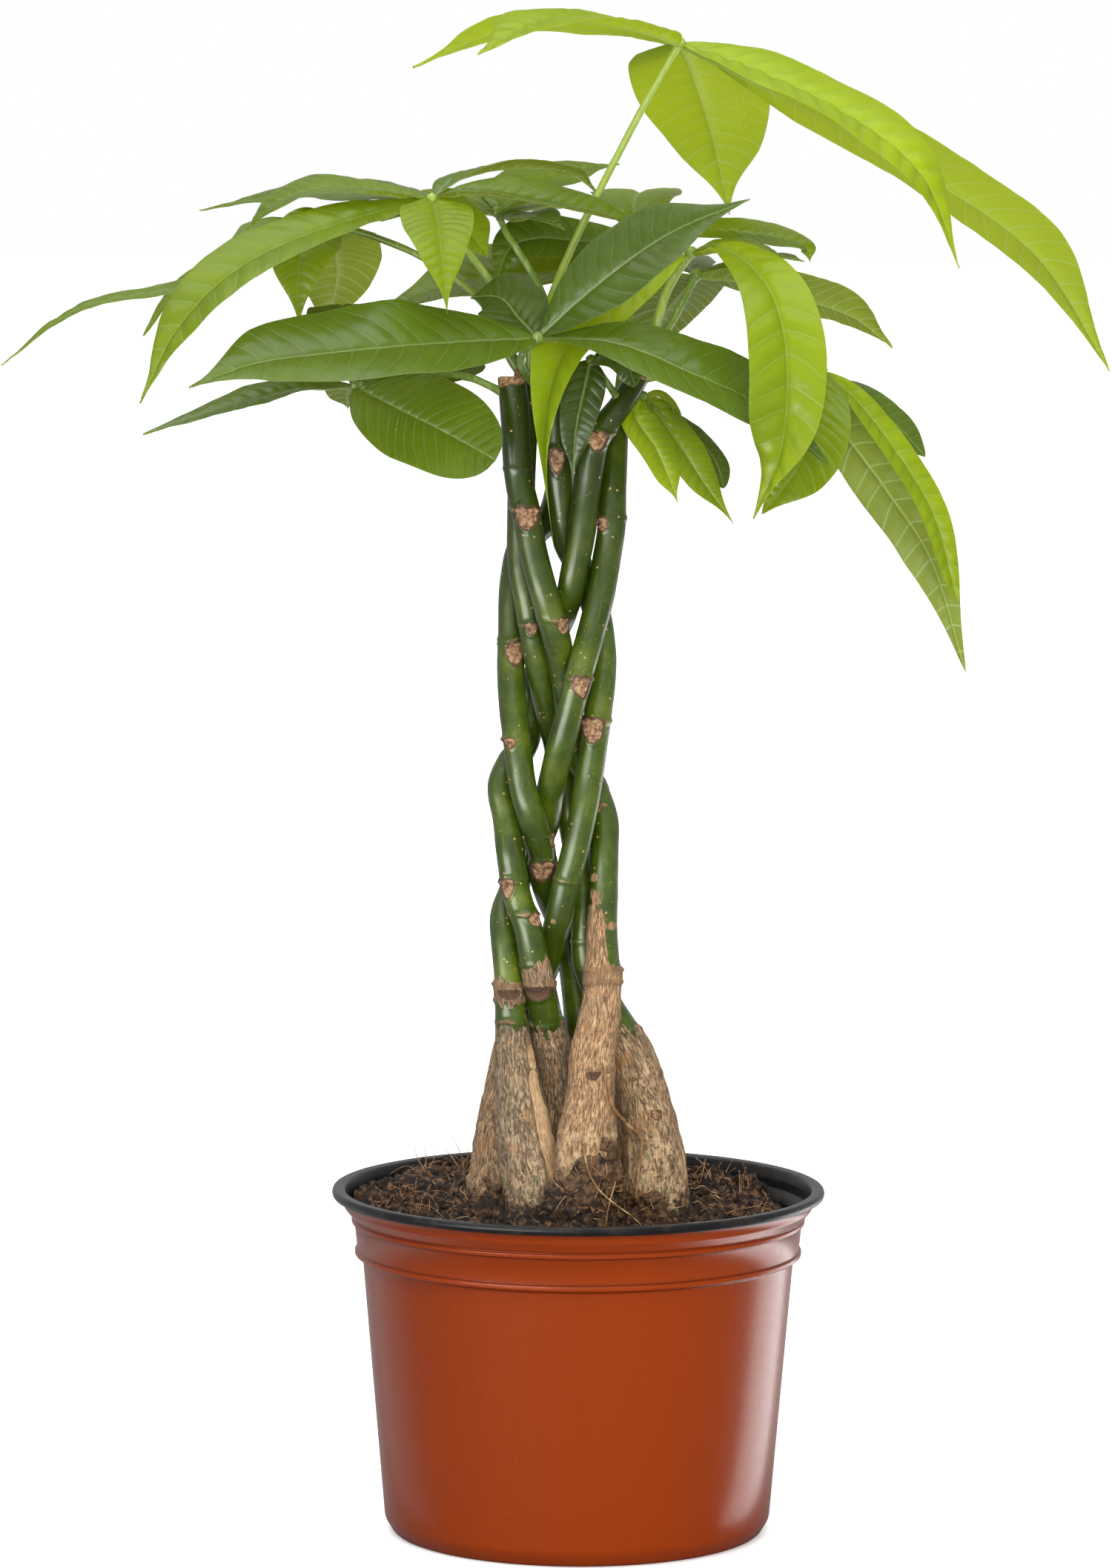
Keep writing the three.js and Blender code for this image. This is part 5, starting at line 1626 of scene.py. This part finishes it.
def build_camera():
    """The camera where the photograph was taken from, turned by its pitch and its slight roll."""
    data = bpy.data.cameras.new("camera")
    data.sensor_width = 36
    data.lens = FOCAL_PIXELS / PHOTO_HEIGHT * data.sensor_width
    data.clip_start = 0.05
    data.clip_end = 50
    camera = add_object("camera", data)
    side = Vector((1, 0, 0))
    up = Vector((0, math.sin(CAMERA_PITCH), math.cos(CAMERA_PITCH)))
    back = side.cross(up)
    turned_side = math.cos(CAMERA_ROLL) * side + math.sin(CAMERA_ROLL) * up
    turned_up = math.cos(CAMERA_ROLL) * up - math.sin(CAMERA_ROLL) * side
    camera.matrix_world = Matrix((turned_side, turned_up, back)).transposed().to_4x4()
    camera.location = Vector(CAMERA_PLACE) * MM
    bpy.context.scene.camera = camera


def add_softbox(name, place, target, size, power):
    """A rectangular light at a place, turned to face its target."""
    data = bpy.data.lights.new(name, "AREA")
    data.shape = "RECTANGLE"
    data.size, data.size_y = size
    data.energy = power
    light = add_object(name, data)
    light.location = place
    light.rotation_euler = (Vector(target) - Vector(place)).to_track_quat("-Z", "Y").to_euler()
    light.visible_camera = False
    light.visible_glossy = False


def add_glow(name, corners, strength):
    """A glowing panel between corners given as reach, bearing and height."""
    places = []
    for reach, bearing, height in corners:
        turn = math.radians(bearing)
        places.append((reach * math.sin(turn), -reach * math.cos(turn), height))
    mesh = bpy.data.meshes.new(name)
    mesh.from_pydata(places, [], [(0, 1, 2, 3)])
    material, shader, output = new_material(name)
    shine = shader.feed(shader.node("ShaderNodeEmission"), Color=(1, 1, 1), Strength=strength)
    shader.tree.links.new(shine.outputs[0], output.inputs["Surface"])
    mesh.materials.append(material)
    panel = add_object(name, mesh)
    panel.visible_camera = False
    panel.visible_diffuse = False
    panel.visible_shadow = False


def build_world(settings):
    """The background: white to the camera, dimmer in mirrored light, and at fill to all other rays."""
    world = bpy.data.worlds.new("studio")
    world.use_nodes = True
    world.node_tree.nodes.clear()
    shader = Shader(world.node_tree)
    seen = shader.node("ShaderNodeBackground")
    cast = shader.node("ShaderNodeBackground")
    shader.feed(seen, Color=(1, 1, 1), Strength=1.0)
    shader.feed(cast, Color=(1, 1, 1), Strength=settings.fill)
    mixed = shader.node("ShaderNodeMixShader")
    paths = shader.node("ShaderNodeLightPath").outputs
    mirrored = shader.times(paths["Is Glossy Ray"], MIRRORED_SHARE)
    whole = shader.math("MAXIMUM", paths["Is Camera Ray"], mirrored)
    shader.feed(mixed, _0=whole, _1=cast.outputs[0], _2=seen.outputs[0])
    output = shader.node("ShaderNodeOutputWorld")
    shader.tree.links.new(mixed.outputs[0], output.inputs["Surface"])
    bpy.context.scene.world = world


def build_stage(settings):
    """A wide pale floor, the lights, the glowing panels and the camera."""
    reach = FLOOR_REACH
    mesh = bpy.data.meshes.new("floor")
    corners = [(-reach, -reach, 0), (reach, -reach, 0), (reach, reach, 0), (-reach, reach, 0)]
    mesh.from_pydata(corners, [], [(0, 1, 2, 3)])
    material, shader, output = new_material("pale_floor")
    seen = shader.node("ShaderNodeLightPath").outputs["Is Camera Ray"]
    made = surface(shader, output, shader.blend(seen, settings.bounce, settings.floor), 0.9)
    shine = shader.times(seen, FLOOR_SHINE)
    shader.feed(made, Emission_Color=(1, 1, 1), Emission_Strength=shine)
    mesh.materials.append(material)
    floor = add_object("floor", mesh)
    build_world(settings)
    overhead = bpy.data.lights.new("overhead", "SUN")
    overhead.energy = settings.overhead
    overhead.angle = math.radians(70)
    light = add_object("overhead", overhead)
    light.rotation_euler = (math.radians(8), math.radians(-8), 0)
    for name, (place, target, size) in SOFTBOXES.items():
        add_softbox(name, place, target, size, getattr(settings, name))
    for name, (share, corners) in GLOWS.items():
        add_glow(name, corners, settings.glow * share)
    bpy.context.scene.view_settings.view_transform = "Standard"
    build_camera()


# Settings


def count(name, words, value, low, high):
    """A whole-number property."""
    return bpy.props.IntProperty(name=name, description=words, default=value, min=low, max=high)


def amount(name, words, value, low=0, **more):
    """A number property."""
    return bpy.props.FloatProperty(name=name, description=words, default=value, min=low, **more)


def colour(name, words, value):
    """A colour property."""
    return bpy.props.FloatVectorProperty(
        name=name, description=words, subtype="COLOR", size=3, min=0, max=1, default=value
    )


class PotSettings(bpy.types.PropertyGroup):
    """What a user would change on the pot."""

    outside: colour("Outside", "Colour of the pot's outside", (0.30, 0.037, 0.0002))
    inside: colour("Inside", "Colour of the pot's inside and rim", (0.006, 0.006, 0.0065))
    turns: count("Turns", "Steps round the pot", 256, 32, 512)


class PeatSettings(bpy.types.PropertyGroup):
    """What a user would change on the peat."""

    dark: colour("Dark", "Colour of the peat's hollows", (0.026, 0.013, 0.0065))
    light: colour("Light", "Colour of the peat's crumbs", (0.23, 0.12, 0.056))
    turns: count("Turns", "Steps round the peat", 480, 48, 800)
    rows: count("Rows", "Steps from the wall to the middle", 150, 10, 300)
    crumbs: count("Crumbs", "Loose crumbs on top", 1500, 0, 3000)
    fibres: count("Fibres", "Dry root fibres on top", 480, 0, 600)


class StemSettings(bpy.types.PropertyGroup):
    """What a user would change on the stems."""

    green_dark: colour("Dark green", "Green skin in its darkest patches", (0.024, 0.044, 0.0015))
    green: colour("Green", "Green skin", (0.050, 0.086, 0.003))
    green_light: colour("Light green", "Green skin in its lightest streaks", (0.13, 0.175, 0.010))
    pore: colour("Pore", "Colour of the pores", (0.55, 0.36, 0.15))
    cork_dark: colour("Dark cork", "Cork in its furrows", (0.13, 0.085, 0.048))
    cork: colour("Cork", "Cork of the swollen feet", (0.38, 0.245, 0.135))
    cork_light: colour("Light cork", "Cork on its ridges", (0.60, 0.43, 0.265))
    scar: colour("Scar", "Colour of leaf scars and cuts", (0.33, 0.175, 0.085))
    peat: colour("Peat dust", "Peat stuck to the feet", (0.06, 0.034, 0.018))
    stations: count("Stations", "Steps along a stem", 560, 40, 800)
    sides: count("Sides", "Steps round a stem", 56, 8, 96)


class LeafSettings(bpy.types.PropertyGroup):
    """What a user would change on the leaves."""

    old: colour("Old", "Colour of the oldest leaflets", (0.020, 0.050, 0.005))
    green: colour("Green", "Colour of a grown leaflet", (0.092, 0.170, 0.007))
    young: colour("Young", "Colour of the youngest leaflets", (0.44, 0.59, 0.014))
    under: colour("Underside", "Colour that tints the undersides", (0.60, 0.67, 0.17))
    vein: colour("Vein", "Colour of the midribs", (0.50, 0.62, 0.26))
    gloss: amount("Roughness", "Roughness of the upper skin", 0.33, max=1)
    clear: amount("Translucence", "Share of light let through", 0.6, max=1)
    rows: count("Rows", "Steps from hub to tip", 84, 10, 200)
    columns: count("Columns", "Steps from midrib to edge", 15, 4, 40)
    veins: amount("Side veins", "Side veins on each half", 15.0, 4, max=30)
    pillow: amount("Quilting", "Height between side veins in mm", 0.9, max=2)
    ripple: amount("Ripple", "Height of the slow ripples in mm", 1.0, max=4)


class StageSettings(bpy.types.PropertyGroup):
    """What a user would change on the stage."""

    floor: colour("Floor", "Colour of the floor", (0.92, 0.92, 0.92))
    bounce: colour("Bounce", "Colour of the light that the floor sends back", (0.32, 0.32, 0.32))
    fill: amount("Fill", "Brightness of the light from all round", 0.12)
    overhead: amount("Overhead", "Strength of the light from above", 2.9)
    key: amount("Key", "Power of the main softbox", 54.0, unit="POWER")
    back: amount("Back", "Power of the softbox behind", 36.0, unit="POWER")
    glow: amount("Glow", "Strength of the panels that glossy skin mirrors", 4.4)


# Operators and panel


class MONEYTREE_OT_pot(bpy.types.Operator):
    """Makes the pot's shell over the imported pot"""

    bl_idname = "moneytree.pot"
    bl_label = "Pot"

    def execute(self, context):
        build_pot(context.scene.moneytree_pot)
        return {"FINISHED"}


class MONEYTREE_OT_peat(bpy.types.Operator):
    """Makes the peat with its loose crumbs and fibres"""

    bl_idname = "moneytree.peat"
    bl_label = "Peat"

    def execute(self, context):
        settings = context.scene.moneytree_peat
        build_peat(settings)
        build_clods(settings)
        build_crumbs(settings)
        build_fibres(settings)
        return {"FINISHED"}


class MONEYTREE_OT_stems(bpy.types.Operator):
    """Makes the braided stems' bark"""

    bl_idname = "moneytree.stems"
    bl_label = "Stems"

    def execute(self, context):
        build_stems(context.scene.moneytree_stems)
        return {"FINISHED"}


class MONEYTREE_OT_leaves(bpy.types.Operator):
    """Makes every compound leaf"""

    bl_idname = "moneytree.leaves"
    bl_label = "Leaves"

    def execute(self, context):
        build_leaves(context.scene.moneytree_leaves)
        return {"FINISHED"}


class MONEYTREE_OT_stage(bpy.types.Operator):
    """Makes the floor, the lights and the camera"""

    bl_idname = "moneytree.stage"
    bl_label = "Stage"

    def execute(self, context):
        build_stage(context.scene.moneytree_stage)
        return {"FINISHED"}


OPERATORS = [
    MONEYTREE_OT_pot,
    MONEYTREE_OT_peat,
    MONEYTREE_OT_stems,
    MONEYTREE_OT_leaves,
    MONEYTREE_OT_stage,
]


class MONEYTREE_PT_panel(bpy.types.Panel):
    """Lists the money tree's pieces and their settings"""

    bl_idname = "MONEYTREE_PT_panel"
    bl_label = "Money tree"
    bl_space_type = "VIEW_3D"
    bl_region_type = "UI"
    bl_category = "Money tree"

    def draw(self, context):
        for operator in OPERATORS:
            box = self.layout.box()
            box.operator(operator.bl_idname)
            settings = getattr(context.scene, operator.bl_idname.replace(".", "_"))
            for key in settings.bl_rna.properties.keys():
                if key not in {"rna_type", "name"}:
                    box.prop(settings, key)


SETTINGS = {
    "moneytree_pot": PotSettings,
    "moneytree_peat": PeatSettings,
    "moneytree_stems": StemSettings,
    "moneytree_leaves": LeafSettings,
    "moneytree_stage": StageSettings,
}


def register():
    """Adds the settings, operators and panel."""
    for kind in (*SETTINGS.values(), *OPERATORS, MONEYTREE_PT_panel):
        bpy.utils.register_class(kind)
    for key, kind in SETTINGS.items():
        setattr(bpy.types.Scene, key, bpy.props.PointerProperty(type=kind))


def unregister():
    """Takes away what register added."""
    for key in SETTINGS:
        delattr(bpy.types.Scene, key)
    for kind in reversed((*SETTINGS.values(), *OPERATORS, MONEYTREE_PT_panel)):
        bpy.utils.unregister_class(kind)


def main():
    """Dresses the frame, piece by piece."""
    register()
    bpy.ops.moneytree.pot()
    bpy.ops.moneytree.peat()
    bpy.ops.moneytree.stems()
    bpy.ops.moneytree.leaves()
    bpy.ops.moneytree.stage()
    bpy.context.view_layer.update()


if __name__ == "__main__":
    main()
